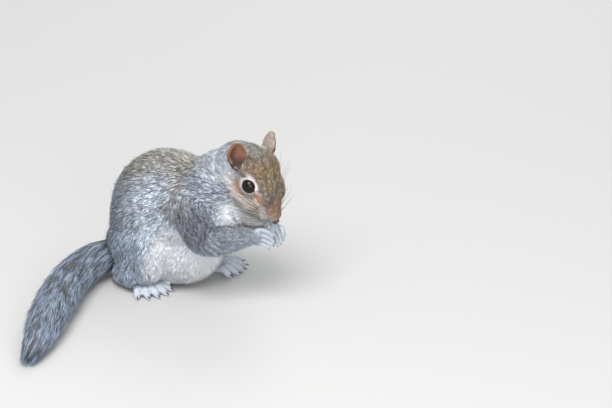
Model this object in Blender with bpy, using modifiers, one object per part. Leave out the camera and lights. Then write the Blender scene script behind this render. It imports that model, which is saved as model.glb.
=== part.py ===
"""A life-size grey squirrel, sitting hunched on its haunches with both forepaws at its mouth.

The solids give the outline of the coat, out to the tips of the hair. Body, neck, head, legs and tail are
fused from rounded lofts and then parted with thin cuts, so that each named part is a solid of its own.
Sizes are in millimetres and become metres when a mesh is made. +X is the way the squirrel faces,
+Y is its left side, +Z is up, and it stands on z = 0.
"""

import math

import bmesh
import bpy
import numpy as np
from mathutils import Matrix, Vector

MM = 0.001
GAP = 0.35  # clear space between neighbouring solids
SIDES = {"right": -1, "left": 1}

# Head: it hangs nose down and looks a little to the squirrel's right.
HEAD_CENTRE = Vector((105.3, -5.0, 106.6))  # midway between the eyes
HEAD_PITCH = math.radians(52)  # nose below the horizon
HEAD_TURN = math.radians(-12.5)
EYE_DIAMETER = 12.0
EYE_PLACE = (-0.8, 12.7, 0.0)  # forward, sideways and up from the head's centre
EAR_PLACE = (-18.0, 18.3, 2.4)  # the root of the ear, inside the head
EAR_SPREAD = 0.12  # how far the ear leans outwards for each millimetre that it rises
EAR_REACH = {"right": 24.0, "left": 18.0}
EAR_WIDTH = 16.5
EAR_DEPTH = 11.0
SCOOP_DEPTH = 0.86  # how deep the ear's hollow is for its whole depth
EAR_WALL = 1.7
# The ear's form: height from its middle, width and depth as shares of its half sizes. It narrows to its tip.
EAR_FORM = [(-0.8, 0.6, 0.7), (-0.4, 0.94, 1.0), (0.05, 1.0, 1.0), (0.45, 0.84, 0.85), (0.76, 0.54, 0.6)]

# Trunk: half widths and half depths of the coat at seven places along the hunched back.
RUMP_TO_SHOULDER = [
    (-15, 0, 19, 24, 20),
    (-5, 0, 41, 38, 32),
    (10, 0, 64, 41, 44),
    (32, 0, 74, 36, 41),
    (52, 0, 84, 29, 31),
    (68, 0, 101, 23, 24),
    (82, -1, 116, 19, 19),
]
BELLY_CENTRE, BELLY_SIZE = (26, 1, 29), (36, 35, 30)
CHEST_CENTRE, CHEST_SIZE = (68, -3, 66), (21, 22, 28)

# Skull and muzzle, in the head's own directions: forward, sideways, up, half width, half height.
SKULL = [
    (-18.5, 0, -1.0, 16.5, 15.5),
    (-10, 0, -1.5, 17.5, 17.5),
    (-1, 0, -2.5, 16.3, 17.5),
    (8, 0, -3.5, 14.5, 16.5),
    (16, 0, -4.8, 12.3, 14.5),
    (22, 0, -5.8, 10.2, 12.0),
    (26.5, 0, -6.2, 8.0, 8.8),
]
CHEEK = ((-5, 10.5, -12), (15, 8.5, 10))
WHISKER_PAD = ((22.0, 6.3, -9.0), (8.5, 5.0, 6.5))
BROW = ((3.5, 7.6, 5.0), (17.5, 7.8, 9.0))
TEMPLE = ((-8.5, 8.6, 8.2), (12.0, 9.0, 8.8))
EAR_MOUND = ((-22.0, 12.0, 1.5), (5.5, 5.0, 6.0))
JOWL = ((8, 7.0, -15.5), (12, 7.5, 7.5))
CHIN = ((19.5, 0.0, -17.0), (11, 7.5, 6.5))
NOSE = ((31.8, 0.0, -6.0), (2.8, 3.8, 2.8))

# Forelegs: shoulder, elbow and wrist, with the coat's half width and half height there.
FORELEG = {
    "right": [
        (44, -20, 84, 16, 17),
        (56, -29, 71, 15, 16),
        (66, -33, 58.5, 12, 13.5),
        (77, -31, 57, 10.5, 12.0),
        (89, -22, 58.8, 8.6, 11.0),
        (100, -14, 60.7, 6.4, 8.0),
    ],
    "left": [
        (46, 18, 84, 16, 17),
        (60, 27, 71, 15, 16),
        (72, 29, 59, 12, 13.5),
        (83, 24, 57, 10.5, 12.0),
        (96, 12, 58.8, 8.6, 11.0),
        (107, 3, 62.2, 6.4, 7.8),
    ],
}
ELBOW = 3  # the station where the upper arm is parted from the forearm

# Hind legs: the thigh from hip to knee, then the lower leg folded back under it.
THIGH = {
    "right": [(-8, -16, 36, 23, 26), (4, -28, 36, 21, 27), (15, -32, 31, 16, 22)],
    "left": [(-6, 16, 36, 23, 26), (18, 28, 36, 20, 25), (36, 33, 30, 15, 19)],
}
LOWER_LEG = {
    "right": [(16, -33, 26, 14, 16), (0, -30, 15, 17, 15), (-14, -24, 11, 15, 12)],
    "left": [(40, 34, 25, 13, 15), (30, 30, 14, 13, 12), (14, 22, 9, 12, 10)],
}

# Feet: where the ball of the foot rests, the way the foot points, and each toe's bearing and reach.
FOOT_BALL = {"right": (13.0, -31.5), "left": (44.0, 34.0)}
FOOT_BEARING = {"right": math.radians(-27), "left": math.radians(15)}
FOOT_LENGTH = 30.0
TOE_BEARINGS = [-38, -18, -3, 11, 27]
TOE_REACH = [15, 18.5, 20, 19.5, 15.5]
TOE_SPACING = 4.6
TOE_HALF_WIDTH = 2.8

# Hands: the row of knuckles, the way from its lowest to its highest finger, and the fingers.
KNUCKLES = {"right": (107.0, -11.5, 61.6), "left": (115.0, 0.3, 64.4)}
KNUCKLE_ROW = {"right": (0.2, 0.1, 1.0), "left": (0.75, 0.0, 0.65)}
FINGER_WAY = {"right": (0.75, 0.15, -0.35), "left": (0.35, -0.15, -0.95)}
FINGER_SPACING = 3.9
FINGER_LENGTH = [9.4, 12.0, 12.2, 10.4]
FINGER_HALF_WIDTH = 1.85

# Tail: it leaves the rump low down, bends to the squirrel's right and lies along the floor.
TAIL = [
    (-14, -4, 24, 17, 15),
    (-29, -14, 19, 17, 14.5),
    (-38, -34, 15, 18, 14),
    (-38, -60, 13.5, 19, 14),
    (-31, -88, 13.5, 20, 14),
    (-21, -116, 13, 20, 13.5),
    (-11, -144, 12, 18.5, 12.5),
    (-2, -168, 9.5, 14.5, 10),
    (5, -188, 6.5, 8, 7),
]
TAIL_CUTS = {"tail_tip": 12, "tail_middle": 8, "tail_lower": 4, "tail_root": 2}  # half stations from the rump

# Where the body is parted: a point on each plane, the way it faces, then depth, half width, half height.
HEAD_BLOCK = (75, -2, 110), (0.874, 0, 0.486), (75, 34, 52)
NECK_BLOCK = (61, -1, 97), (0.75, 0, 0.66), (60, 40, 46)
# Rounded cuts: centre, half sizes and a turn about the sideways axis in degrees.
UPPER_ARM_CUT = {
    "right": ((60, -39, 67), (33, 22, 18.5), 50),
    "left": ((64, 36, 67), (33, 22, 18.5), 50),
}
THIGH_CUT = {
    "right": ((4, -43, 38), (31, 27, 27), 8),
    "left": ((19, 42, 36), (31, 25, 27), 8),
}
LOWER_LEG_CUT = {
    "right": ((-3, -38, 4), (36, 27, 20), 0),
    "left": ((24, 37, 4), (33, 24, 18), 0),
}

# Surface detail: the grain of the fused forms in millimetres, how often a joined surface is smoothed,
# about how many triangles a form gets, and the share of them that a part keeps once it is cut.
BODY_GRAIN, BODY_ROUNDING, BODY_TRIANGLES = 1.5, 6, 3900
FOOT_GRAIN, PAW_GRAIN, PAW_ROUNDING = 0.55, 0.45, 2
FOOT_TRIANGLES, HAND_TRIANGLES = 430, 400
USUAL_SHARE, FOOT_SHARE = 0.71, 0.75
SHARES = {"trunk": 0.61, "head": 0.92}
FOOT_CLEARANCE = 1.6 * GAP  # a foot is pressed into the fur round it, so it is cut a little further back

# Fur and skin colours as linear red, green and blue, with the roughness.
COATS = {
    "grey": ((0.30, 0.30, 0.32), 0.8),
    "olive": ((0.27, 0.22, 0.14), 0.8),
    "pale": ((0.55, 0.57, 0.60), 0.8),
    "pink_skin": ((0.35, 0.18, 0.12), 0.6),
    "eye_black": ((0.006, 0.005, 0.005), 0.05),
}


# ---- shapes -----------------------------------------------------------------------------------------------


def head_frame():
    """The matrix that places a point given as forward, left and up from the head's centre."""
    cp, sp = math.cos(HEAD_PITCH), math.sin(HEAD_PITCH)
    ct, st = math.cos(HEAD_TURN), math.sin(HEAD_TURN)
    forward = Vector((cp * ct, cp * st, -sp))
    left = Vector((-st, ct, 0))
    up = forward.cross(left)
    turned = Matrix((forward, left, up)).transposed().to_4x4()
    return Matrix.Translation(HEAD_CENTRE) @ turned


def through(rows, steps):
    """Rows on a smooth curve through the given rows, with steps of them for each stretch."""
    rows = np.array(rows, float)
    ends = np.vstack([2 * rows[0] - rows[1], rows, 2 * rows[-1] - rows[-2]])
    made = []
    for a, b, c, d in zip(ends, ends[1:], ends[2:], ends[3:]):
        for t in np.arange(steps) / steps:
            cubic = (3 * b - a - 3 * c + d) * t**3
            made.append(0.5 * (2 * b + (c - a) * t + (2 * a - 5 * b + 4 * c - d) * t**2 + cubic))
    made.append(rows[-1])
    return np.array(made)


def mesh_of(points, faces):
    """A mesh from points in millimetres, with its faces turned outwards."""
    mesh = bpy.data.meshes.new("form")
    mesh.from_pydata([Vector(p) * MM for p in points], [], faces)
    work = bmesh.new()
    work.from_mesh(mesh)
    bmesh.ops.recalc_face_normals(work, faces=work.faces)
    work.to_mesh(mesh)
    work.free()
    return mesh


def loft(stations, side=(0, 1, 0), grow=0.0, steps=4, corners=20, frame=None):
    """A closed form with round ends through oval sections.

    A station is x, y, z, half the width along side, and half the height across it.
    """
    rows = through(stations, steps)
    centres, halves = rows[:, :3], rows[:, 3:5] + grow
    along = np.gradient(centres, axis=0)
    along /= np.linalg.norm(along, axis=1)[:, None]
    across = np.array(side, float) - (along @ np.array(side, float))[:, None] * along
    across /= np.linalg.norm(across, axis=1)[:, None]
    upward = np.cross(along, across)
    rings = []
    for step in (75, 50, 25):
        rings.append((0, -math.sin(math.radians(step)), math.cos(math.radians(step))))
    rings += [(i, 0.0, 1.0) for i in range(len(rows))]
    for step in (25, 50, 75):
        rings.append((len(rows) - 1, math.sin(math.radians(step)), math.cos(math.radians(step))))
    turn = np.linspace(0, 2 * math.pi, corners, endpoint=False)
    points = []
    for i, out, share in rings:
        middle = centres[i] + along[i] * out * halves[i].min()
        wide, high = halves[i] * share
        points += [
            middle + across[i] * wide * math.cos(a) + upward[i] * high * math.sin(a) for a in turn
        ]
    faces = []
    for r in range(len(rings) - 1):
        for k in range(corners):
            n = (k + 1) % corners
            first, second = r * corners, (r + 1) * corners
            faces.append((first + k, first + n, second + n, second + k))
    faces.append(tuple(range(corners)))
    faces.append(tuple(range((len(rings) - 1) * corners, len(rings) * corners)))
    if frame is not None:
        points = [frame @ Vector(p) for p in points]
    return mesh_of(points, faces)


def oval(centre, halves, turn=(0, 0, 0), frame=None, segments=24, rings=16):
    """An egg-like form from a sphere, with its three half sizes and a turn in degrees."""
    work = bmesh.new()
    bmesh.ops.create_uvsphere(work, u_segments=segments, v_segments=rings, radius=1.0)
    rotation = Matrix.Identity(4)
    for angle, axis in zip(turn, "XYZ"):
        rotation = Matrix.Rotation(math.radians(angle), 4, axis) @ rotation
    place = Matrix.Translation(Vector(centre)) @ rotation @ Matrix.Diagonal((*halves, 1))
    if frame is not None:
        place = frame @ place
    bmesh.ops.transform(work, matrix=Matrix.Scale(MM, 4) @ place, verts=work.verts)
    mesh = bpy.data.meshes.new("form")
    work.to_mesh(mesh)
    work.free()
    return mesh


def slab(low, high):
    """A box between two corners in millimetres."""
    work = bmesh.new()
    size, middle = Vector(high) - Vector(low), (Vector(high) + Vector(low)) / 2
    place = Matrix.Translation(middle * MM) @ Matrix.Diagonal((*(size * MM), 1))
    bmesh.ops.create_cube(work, size=1.0, matrix=place)
    mesh = bpy.data.meshes.new("slab")
    work.to_mesh(mesh)
    work.free()
    return mesh


def joined(meshes):
    """Several closed forms in one mesh, still as separate shells."""
    work = bmesh.new()
    for mesh in meshes:
        work.from_mesh(mesh)
    mesh = bpy.data.meshes.new("forms")
    work.to_mesh(mesh)
    work.free()
    return mesh


def with_modifiers(mesh, *settings):
    """The mesh after the given modifiers, each a type and its values."""
    obj = bpy.data.objects.new("work", mesh)
    bpy.context.scene.collection.objects.link(obj)
    for kind, values in settings:
        modifier = obj.modifiers.new(kind.lower(), kind)
        for name, value in values.items():
            setattr(modifier, name, value)
    graph = bpy.context.evaluated_depsgraph_get()
    made = bpy.data.meshes.new_from_object(obj.evaluated_get(graph))
    bpy.data.objects.remove(obj)
    return made


def triangles_in(mesh):
    """How many triangles the mesh has."""
    mesh.calc_loop_triangles()
    return len(mesh.loop_triangles)


def fused(meshes, voxel, rounding, triangles):
    """One closed skin over overlapping forms, with its joins rounded, thinned to about so many triangles."""
    skin = with_modifiers(
        joined(meshes),
        ("REMESH", {"mode": "VOXEL", "voxel_size": voxel * MM}),
        ("SMOOTH", {"factor": 0.5, "iterations": rounding}),
    )
    share = min(1.0, triangles / triangles_in(skin))
    return with_modifiers(skin, ("DECIMATE", {"ratio": share}), ("TRIANGULATE", {}))


def thinned(mesh, share):
    """The mesh with fewer triangles, first of all the slivers that cuts leave on flat ground."""
    return largest(with_modifiers(mesh, ("DECIMATE", {"ratio": share}), ("TRIANGULATE", {})))


def combined(mesh, cutter, operation):
    """The mesh cut by, or kept inside, the cutter."""
    tool = bpy.data.objects.new("cutter", cutter)
    bpy.context.scene.collection.objects.link(tool)
    made = with_modifiers(mesh, ("BOOLEAN", {"object": tool, "operation": operation}))
    bpy.data.objects.remove(tool)
    return made


def grown(mesh, by):
    """A copy of the mesh with its surface moved outwards."""
    made = mesh.copy()
    normals = [v.normal.copy() for v in made.vertices]
    for vertex, normal in zip(made.vertices, normals):
        vertex.co += normal * by * MM
    return made


def largest(mesh):
    """The mesh's largest connected shell, without the crumbs that a cut may leave."""
    work = bmesh.new()
    work.from_mesh(mesh)
    bmesh.ops.remove_doubles(work, verts=work.verts, dist=0.002 * MM)
    left, shells = set(work.verts), []
    while left:
        shell, edge = set(), [left.pop()]
        while edge:
            vertex = edge.pop()
            shell.add(vertex)
            near = [e.other_vert(vertex) for e in vertex.link_edges]
            edge += [v for v in near if v in left]
            left.difference_update(near)
        shells.append(shell)
    keep = max(shells, key=len)
    bmesh.ops.delete(work, geom=[v for v in work.verts if v not in keep], context="VERTS")
    bmesh.ops.triangulate(work, faces=work.faces)
    work.to_mesh(mesh)
    work.free()
    return mesh


# ---- the body, in one piece -------------------------------------------------------------------------------


def both_sides(place, halves, frame):
    """A form and its twin on the other side of the head."""
    forward, sideways, up = place
    return [oval((forward, s * sideways, up), halves, frame=frame) for s in SIDES.values()]


def head_forms(frame):
    """Skull and muzzle, cheeks, jowls, whisker pads, brows, temples, the ears' mounds, chin and nose."""
    forms = [loft(SKULL, frame=frame, corners=28)]
    for place, halves in (CHEEK, JOWL, WHISKER_PAD, BROW, TEMPLE, EAR_MOUND):
        forms += both_sides(place, halves, frame)
    forms += [oval(*CHIN, frame=frame), oval(*NOSE, frame=frame)]
    return forms


def body_forms(frame):
    """Every fleshy form of the squirrel apart from its ears, forepaws and hind feet."""
    forms = [loft(RUMP_TO_SHOULDER, corners=32), loft(TAIL, side=(0.7, 0.7, 0))]
    forms += [oval(BELLY_CENTRE, BELLY_SIZE), oval(CHEST_CENTRE, CHEST_SIZE)]
    for side in SIDES:
        forms += [loft(FORELEG[side]), loft(THIGH[side]), loft(LOWER_LEG[side])]
    return forms + head_forms(frame)


# ---- paws, ears and eyes ----------------------------------------------------------------------------------


def digit(root, reach, bearing, knuckle, drop, half_width, tip):
    """A toe or finger that rises to a knuckle and bends down to its claw."""
    way = np.array((math.cos(bearing), math.sin(bearing), 0.0))
    start = np.array(root, float)
    joints = [
        start - way * 3,
        start + way * reach * 0.36 + (0, 0, knuckle),
        start + way * reach * 0.72 + (0, 0, knuckle * 0.35 - drop * 0.35),
        start + way * reach + (0, 0, -drop),
    ]
    widths = [half_width, half_width * 1.02, half_width, tip]
    stations = [(*j, w, w) for j, w in zip(joints, widths)]
    across = (-math.sin(bearing), math.cos(bearing), 0)
    return loft(stations, side=across, steps=3, corners=12)


def hind_foot(side):
    """A long foot flat on the floor, with five toes that fan out from its ball."""
    bearing = FOOT_BEARING[side]
    way = np.array((math.cos(bearing), math.sin(bearing), 0.0))
    across = np.array((-math.sin(bearing), math.cos(bearing), 0.0))
    ball = np.array((*FOOT_BALL[side], 4.2))
    heel = ball - way * FOOT_LENGTH
    sole = [
        (*heel, 6.0, 6.0),
        (*(ball - way * 14 + (0, 0, 0.6)), 7.0, 5.6),
        (*ball, 9.6, 4.6),
        (*(ball + way * 4), 9.4, 3.8),
    ]
    forms = [loft(sole, side=across, corners=16)]
    for k, (turn, reach) in enumerate(zip(TOE_BEARINGS, TOE_REACH)):
        root = ball + across * (k - 2) * TOE_SPACING - (0, 0, 1.2)
        toe = bearing + math.radians(turn * 0.8)
        forms.append(digit(root, reach, toe, 2.6, 1.6, TOE_HALF_WIDTH, 1.1))
    return fused(forms, FOOT_GRAIN, PAW_ROUNDING, FOOT_TRIANGLES)


def forepaw(side):
    """A hand held up to the mouth, with four fingers folded over and a small thumb pad."""
    wrist, row = np.array(FORELEG[side][-1][:3], float), np.array(KNUCKLE_ROW[side], float)
    knuckles, way = np.array(KNUCKLES[side], float), np.array(FINGER_WAY[side], float)
    row, way = row / np.linalg.norm(row), way / np.linalg.norm(way)
    palm_way = (knuckles - wrist) / np.linalg.norm(knuckles - wrist)
    palm = [
        (*(wrist - palm_way * 5), 5.4, 5.4),
        (*(wrist + palm_way * 2), 5.4, 5.0),
        (*(wrist * 0.4 + knuckles * 0.6), 6.2, 4.2),
        (*knuckles, 6.6, 3.0),
    ]
    forms = [loft(palm, side=row, corners=16)]
    for k, reach in enumerate(FINGER_LENGTH):
        root = knuckles + row * (k - 1.5) * FINGER_SPACING
        joints = [
            root - palm_way * 2,
            root + palm_way * 2.2 + way * 0.5,
            root + palm_way * 2.6 + way * reach * 0.5,
            root + palm_way * 1.2 + way * reach,
        ]
        widths = [FINGER_HALF_WIDTH, FINGER_HALF_WIDTH, FINGER_HALF_WIDTH * 0.94, 1.05]
        stations = [(*j, w, w) for j, w in zip(joints, widths)]
        forms.append(loft(stations, side=row, steps=3, corners=12))
    thumb = wrist * 0.3 + knuckles * 0.7 + row * 5.5
    forms.append(oval(thumb, (2.6, 2.2, 2.0)))
    return fused(forms, PAW_GRAIN, PAW_ROUNDING, HAND_TRIANGLES)


def ear(side, frame):
    """A rounded cup, open forwards and outwards, that narrows to its root in the head."""
    forward, sideways, up = EAR_PLACE
    sign, reach = SIDES[side], EAR_REACH[side]
    root = frame @ Vector((forward, sign * sideways, up))
    tip_way = Vector((0.14, sign * EAR_SPREAD, 1.0)).normalized()
    facing = Vector((0.62, sign * 0.78, 0)).normalized()
    facing = (facing - tip_way * facing.dot(tip_way)).normalized()
    axes = Matrix((facing, tip_way.cross(facing), tip_way)).transposed().to_4x4()
    place = Matrix.Translation(root + tip_way * reach * 0.48) @ axes
    deep, wide, tall = EAR_DEPTH / 2, EAR_WIDTH / 2, reach * 0.52
    outer = [(0, 0, tall * at, wide * w, deep * d) for at, w, d in EAR_FORM]
    wide, tall, ahead = wide - EAR_WALL * 0.7, tall - EAR_WALL * 0.8, EAR_WALL * 1.7
    deep *= SCOOP_DEPTH
    hollow = [(ahead, 0, 0.4 + tall * at, wide * w, deep * d) for at, w, d in EAR_FORM]
    cup, scoop = [loft(rows, steps=1, corners=12, frame=place) for rows in (outer, hollow)]
    return largest(combined(cup, scoop, "DIFFERENCE"))


def eyeball(side, frame):
    """The eye, a plain ball."""
    forward, sideways, up = EYE_PLACE
    half = EYE_DIAMETER / 2
    return oval((forward, SIDES[side] * sideways, up), (half,) * 3, frame=frame, segments=12, rings=9)


# ---- parting ----------------------------------------------------------------------------------------------


def part_off(body, make_cutter):
    """The piece of the body inside a cutter, and the rest of it, with a gap between them."""
    piece = largest(combined(body, make_cutter(0.0), "INTERSECT"))
    rest = largest(combined(body, make_cutter(GAP), "DIFFERENCE"))
    return piece, rest


def block_cut(at, facing, size):
    """A cutter with flat sides that begins at a plane and runs on the way that the plane faces."""
    facing = Vector(facing).normalized()
    sideways = Vector((0, 1, 0))
    axes = Matrix((facing, sideways, facing.cross(sideways))).transposed().to_4x4()
    place = Matrix.Scale(MM, 4) @ Matrix.Translation(Vector(at)) @ axes

    def made(grow):
        deep, wide, high = size
        mesh = slab((-grow, -wide - grow, -high - grow), (deep + grow, wide + grow, high + grow))
        mesh.transform(place @ Matrix.Scale(1 / MM, 4))
        return mesh

    return made


def oval_cut(centre, halves, turn):
    """A cutter like an egg, which leaves a rounded seam."""
    return lambda grow: oval(
        centre, [h + grow for h in halves], turn=(0, turn, 0), segments=12, rings=8
    )


def sleeve_cut(stations, wider, longer, side=(0, 1, 0)):
    """A cutter round a limb or a length of tail, with flat ends, that runs on past the last station."""
    rows = np.array(stations, float)
    step = rows[-1, :3] - rows[-2, :3]
    past = rows[-1].copy()
    past[:3] += step / np.linalg.norm(step) * longer
    rows = np.vstack([rows, past])
    along = np.gradient(rows[:, :3], axis=0)
    along /= np.linalg.norm(along, axis=1)[:, None]
    across = np.array(side, float) - (along @ np.array(side, float))[:, None] * along
    across /= np.linalg.norm(across, axis=1)[:, None]
    upward = np.cross(along, across)
    corners = 8

    def made(grow):
        centres = rows[:, :3].copy()
        centres[0] -= along[0] * grow
        centres[-1] += along[-1] * grow
        points, faces = [], []
        for i, centre in enumerate(centres):
            wide, high = rows[i, 3:5] + wider + grow
            for a in np.linspace(0, 2 * math.pi, corners, endpoint=False):
                points.append(centre + across[i] * wide * math.cos(a) + upward[i] * high * math.sin(a))
        for r in range(len(centres) - 1):
            for k in range(corners):
                n = (k + 1) % corners
                first, second = r * corners, (r + 1) * corners
                faces.append((first + k, first + n, second + n, second + k))
        faces.append(tuple(range(corners)))
        faces.append(tuple(range((len(centres) - 1) * corners, len(centres) * corners)))
        return mesh_of(points, faces)

    return made


def parted(body):
    """Every named part of the fused body."""
    parts = {}

    def take(name, cutter):
        nonlocal body
        parts[name], body = part_off(body, cutter)

    tail_rows = through(TAIL, 2)
    for name, first in TAIL_CUTS.items():
        take(name, sleeve_cut(tail_rows[first::2], 5, 14, side=(0.7, 0.7, 0)))
    for side in SIDES:
        take("forearm_" + side, sleeve_cut(FORELEG[side][ELBOW:], 2.5, 10))
        take("upper_arm_" + side, oval_cut(*UPPER_ARM_CUT[side]))
        take("thigh_" + side, oval_cut(*THIGH_CUT[side]))
        take("lower_leg_" + side, oval_cut(*LOWER_LEG_CUT[side]))
    take("head", block_cut(*HEAD_BLOCK))
    take("neck", block_cut(*NECK_BLOCK))
    parts["trunk"] = body
    return parts


# ---- the finished parts -----------------------------------------------------------------------------------


def material(name):
    """A Principled material in one of the coat's colours."""
    colour, roughness = COATS[name]
    made = bpy.data.materials.get(name) or bpy.data.materials.new(name)
    made.use_nodes = True
    shader = made.node_tree.nodes["Principled BSDF"]
    shader.inputs["Base Color"].default_value = (*colour, 1.0)
    shader.inputs["Roughness"].default_value = roughness
    return made


def coat_of(name):
    """Which colour a part has."""
    for start, coat in (
        ("head", "olive"),
        ("ear", "pink_skin"),
        ("eye", "eye_black"),
        ("forepaw", "pale"),
        ("hind_foot", "pale"),
    ):
        if name.startswith(start):
            return coat
    return "grey"


def corners_of(meshes):
    """The lowest and the highest corner of the box round some meshes, in metres."""
    points = np.array([v.co for mesh in meshes for v in mesh.vertices])
    return points.min(axis=0), points.max(axis=0)


def place_part(name, mesh, whole, collection):
    """A named object for one part, shaded smooth, with its origin in its own middle."""
    low, high = corners_of([mesh])
    middle = Vector((low + high) / 2)
    mesh.transform(Matrix.Translation(-middle))
    mesh.shade_smooth()
    mesh.materials.clear()
    mesh.materials.append(material(coat_of(name)))
    obj = bpy.data.objects.new(name, mesh)
    obj.location = middle
    obj.parent = whole
    collection.objects.link(obj)


def assemble(parts):
    """All the parts under one empty, moved so that the world's origin is on the floor under their middle."""
    collection = bpy.data.collections.new("grey_squirrel")
    bpy.context.scene.collection.children.link(collection)
    whole = bpy.data.objects.new("squirrel", None)
    collection.objects.link(whole)
    low, high = corners_of(parts.values())
    whole.location = (-(low[0] + high[0]) / 2, -(low[1] + high[1]) / 2, -low[2])
    for name, mesh in parts.items():
        place_part(name, mesh, whole, collection)


def main():
    for obj in list(bpy.data.objects):
        bpy.data.objects.remove(obj)
    frame = head_frame()
    body = fused(body_forms(frame), BODY_GRAIN, BODY_ROUNDING, BODY_TRIANGLES)
    parts = {name: thinned(mesh, SHARES.get(name, USUAL_SHARE)) for name, mesh in parted(body).items()}
    for side in SIDES:
        ball = eyeball(side, frame)
        parts["eye_" + side] = ball
        parts["head"] = largest(combined(parts["head"], grown(ball, GAP), "DIFFERENCE"))
        cup = combined(ear(side, frame), grown(parts["head"], GAP), "DIFFERENCE")
        parts["ear_" + side] = largest(cup)
        hand = combined(forepaw(side), grown(parts["forearm_" + side], GAP), "DIFFERENCE")
        parts["forepaw_" + side] = largest(hand)
        foot = hind_foot(side)
        for name in ("lower_leg_" + side, "thigh_" + side, "trunk", "tail_root"):
            foot = combined(foot, grown(parts[name], FOOT_CLEARANCE), "DIFFERENCE")
        parts["hind_foot_" + side] = thinned(foot, FOOT_SHARE)
    below = slab((-200, -300, -50), (300, 200, 0))
    for name, mesh in parts.items():
        if corners_of([mesh])[0][2] < 0:
            parts[name] = largest(combined(mesh, below, "DIFFERENCE"))
    assemble(parts)


main()
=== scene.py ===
"""A grey squirrel in its winter coat, sitting hunched on its haunches with both forepaws at its mouth.

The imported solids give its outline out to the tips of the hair. This script makes the bare hide inside them,
grows the coat from it lock by lock out to that outline, and adds eyes, nose, whiskers and claws.
Its own measures are in millimetres from a point on the floor between the hind feet: +X is the way that the
animal faces, +Y is its left side and +Z is up.
"""

import math

import bmesh
import bpy
import numpy as np
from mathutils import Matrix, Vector
from mathutils.bvhtree import BVHTree
from mathutils.kdtree import KDTree


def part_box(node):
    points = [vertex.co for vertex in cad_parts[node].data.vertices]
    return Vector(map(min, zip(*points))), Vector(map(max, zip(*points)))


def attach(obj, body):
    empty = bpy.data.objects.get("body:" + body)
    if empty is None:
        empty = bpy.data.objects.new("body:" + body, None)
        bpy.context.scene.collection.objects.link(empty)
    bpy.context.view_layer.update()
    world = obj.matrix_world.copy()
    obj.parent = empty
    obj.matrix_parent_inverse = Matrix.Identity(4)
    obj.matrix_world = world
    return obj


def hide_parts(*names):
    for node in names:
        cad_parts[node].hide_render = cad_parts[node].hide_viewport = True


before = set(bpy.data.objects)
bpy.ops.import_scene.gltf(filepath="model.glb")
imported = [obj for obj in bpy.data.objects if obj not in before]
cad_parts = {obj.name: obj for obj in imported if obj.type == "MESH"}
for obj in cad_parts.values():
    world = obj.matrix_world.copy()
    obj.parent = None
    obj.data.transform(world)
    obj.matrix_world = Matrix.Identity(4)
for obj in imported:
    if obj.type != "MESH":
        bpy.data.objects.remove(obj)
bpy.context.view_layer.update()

# ---- Hide --------------------------------------------------------------------------------------------------
# The bare skin is one piece from nose to tail, a soft grey-pink leather that only shows in the ears, at the
# nose and between the toes. It lies under the outline by the depth of the fur that grows there, and is fused
# here from the solids of flesh, a thin core for the tail and soft rolls under the jaw and round the eyes.

MM = 0.001
SIDES = {"right": -1, "left": 1}
PITCH, TURN = math.radians(52), math.radians(-12.5)  # how far the head points down, and to its left
HEAD_AT = np.array((105.3, -5.0, 106.6))  # midway between the eyes, a little behind them
FORWARD = np.array((math.cos(PITCH) * math.cos(TURN), math.cos(PITCH) * math.sin(TURN), -math.sin(PITCH)))
LEFTWARD = np.array((-math.sin(TURN), math.cos(TURN), 0.0))
UPWARD = np.cross(FORWARD, LEFTWARD)
HEAD_WAYS = np.stack([FORWARD, LEFTWARD, UPWARD])
EYE_RADIUS = 6.0
EYE_AT = (-0.8, 12.7, 0.0)  # forward, sideways and up from the head's middle
GAZE = (0.226, 0.873, 0.432)  # the way that an eye looks, in the same order


def unit(vectors):
    """Vectors made one long."""
    return vectors / np.maximum(np.linalg.norm(vectors, axis=-1, keepdims=True), 1e-9)


def on_head(ahead, aside, above):
    """The place, or row of places, that lies so far forward, left and up from the head's middle."""
    return HEAD_AT + np.stack(np.broadcast_arrays(ahead, aside, above), axis=-1) @ HEAD_WAYS


def eye_middle(sign):
    """The middle of the eyeball on one side."""
    return on_head(EYE_AT[0], sign * EYE_AT[1], EYE_AT[2])


def gaze(sign):
    """The way the eye on one side looks: outwards, upwards and a little forward."""
    return unit(GAZE[0] * FORWARD + GAZE[1] * sign * LEFTWARD + GAZE[2] * UPWARD)


ORIGIN = (np.array(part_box("eye_right")) / MM).mean(axis=0) - eye_middle(-1)

# Every part of flesh: how deep its coat lies, how long, how wide and how close together its locks are.
# Depth, length and width are in millimetres, and closeness is in locks for each square millimetre.
COAT = {
    "trunk": (4.6, 8.6, 0.60, 1.85),
    "neck": (4.2, 7.6, 0.56, 2.1),
    "head": (1.9, 3.8, 0.36, 6.0),
    "ear": (0.3, 1.8, 0.22, 8.0),
    "upper_arm": (3.4, 7.0, 0.52, 2.4),
    "forearm": (2.2, 4.8, 0.44, 3.8),
    "forepaw": (0.45, 1.9, 0.26, 9.0),
    "thigh": (4.6, 8.2, 0.58, 2.0),
    "lower_leg": (3.4, 7.0, 0.52, 2.4),
    "hind_foot": (0.45, 2.0, 0.28, 7.0),
    "tail": (13.0, 28.0, 0.8, 0.0),
}
# Where the coat lies thinner: round which place, how much of it is missing, and from how near to how far.
THINNER = [(on_head(26, 0, -7), 0.7, 6, 14), (eye_middle(-1), 0.8, 7, 12), (eye_middle(1), 0.8, 7, 12)]
TAIL_PATH = [(-6, 0, 28), (-14, -4, 24), (-29, -14, 19), (-38, -34, 15), (-38, -60, 13.5)]
TAIL_PATH += [(-31, -88, 13.5), (-21, -116, 13), (-11, -144, 12), (-2, -166, 9.5), (2, -177, 8.0)]
TAIL_CORE = [7.5, 7.2, 6.6, 6.0, 5.6, 5.2, 4.7, 4.0, 3.0, 1.6]  # its radius at each of those points
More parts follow.
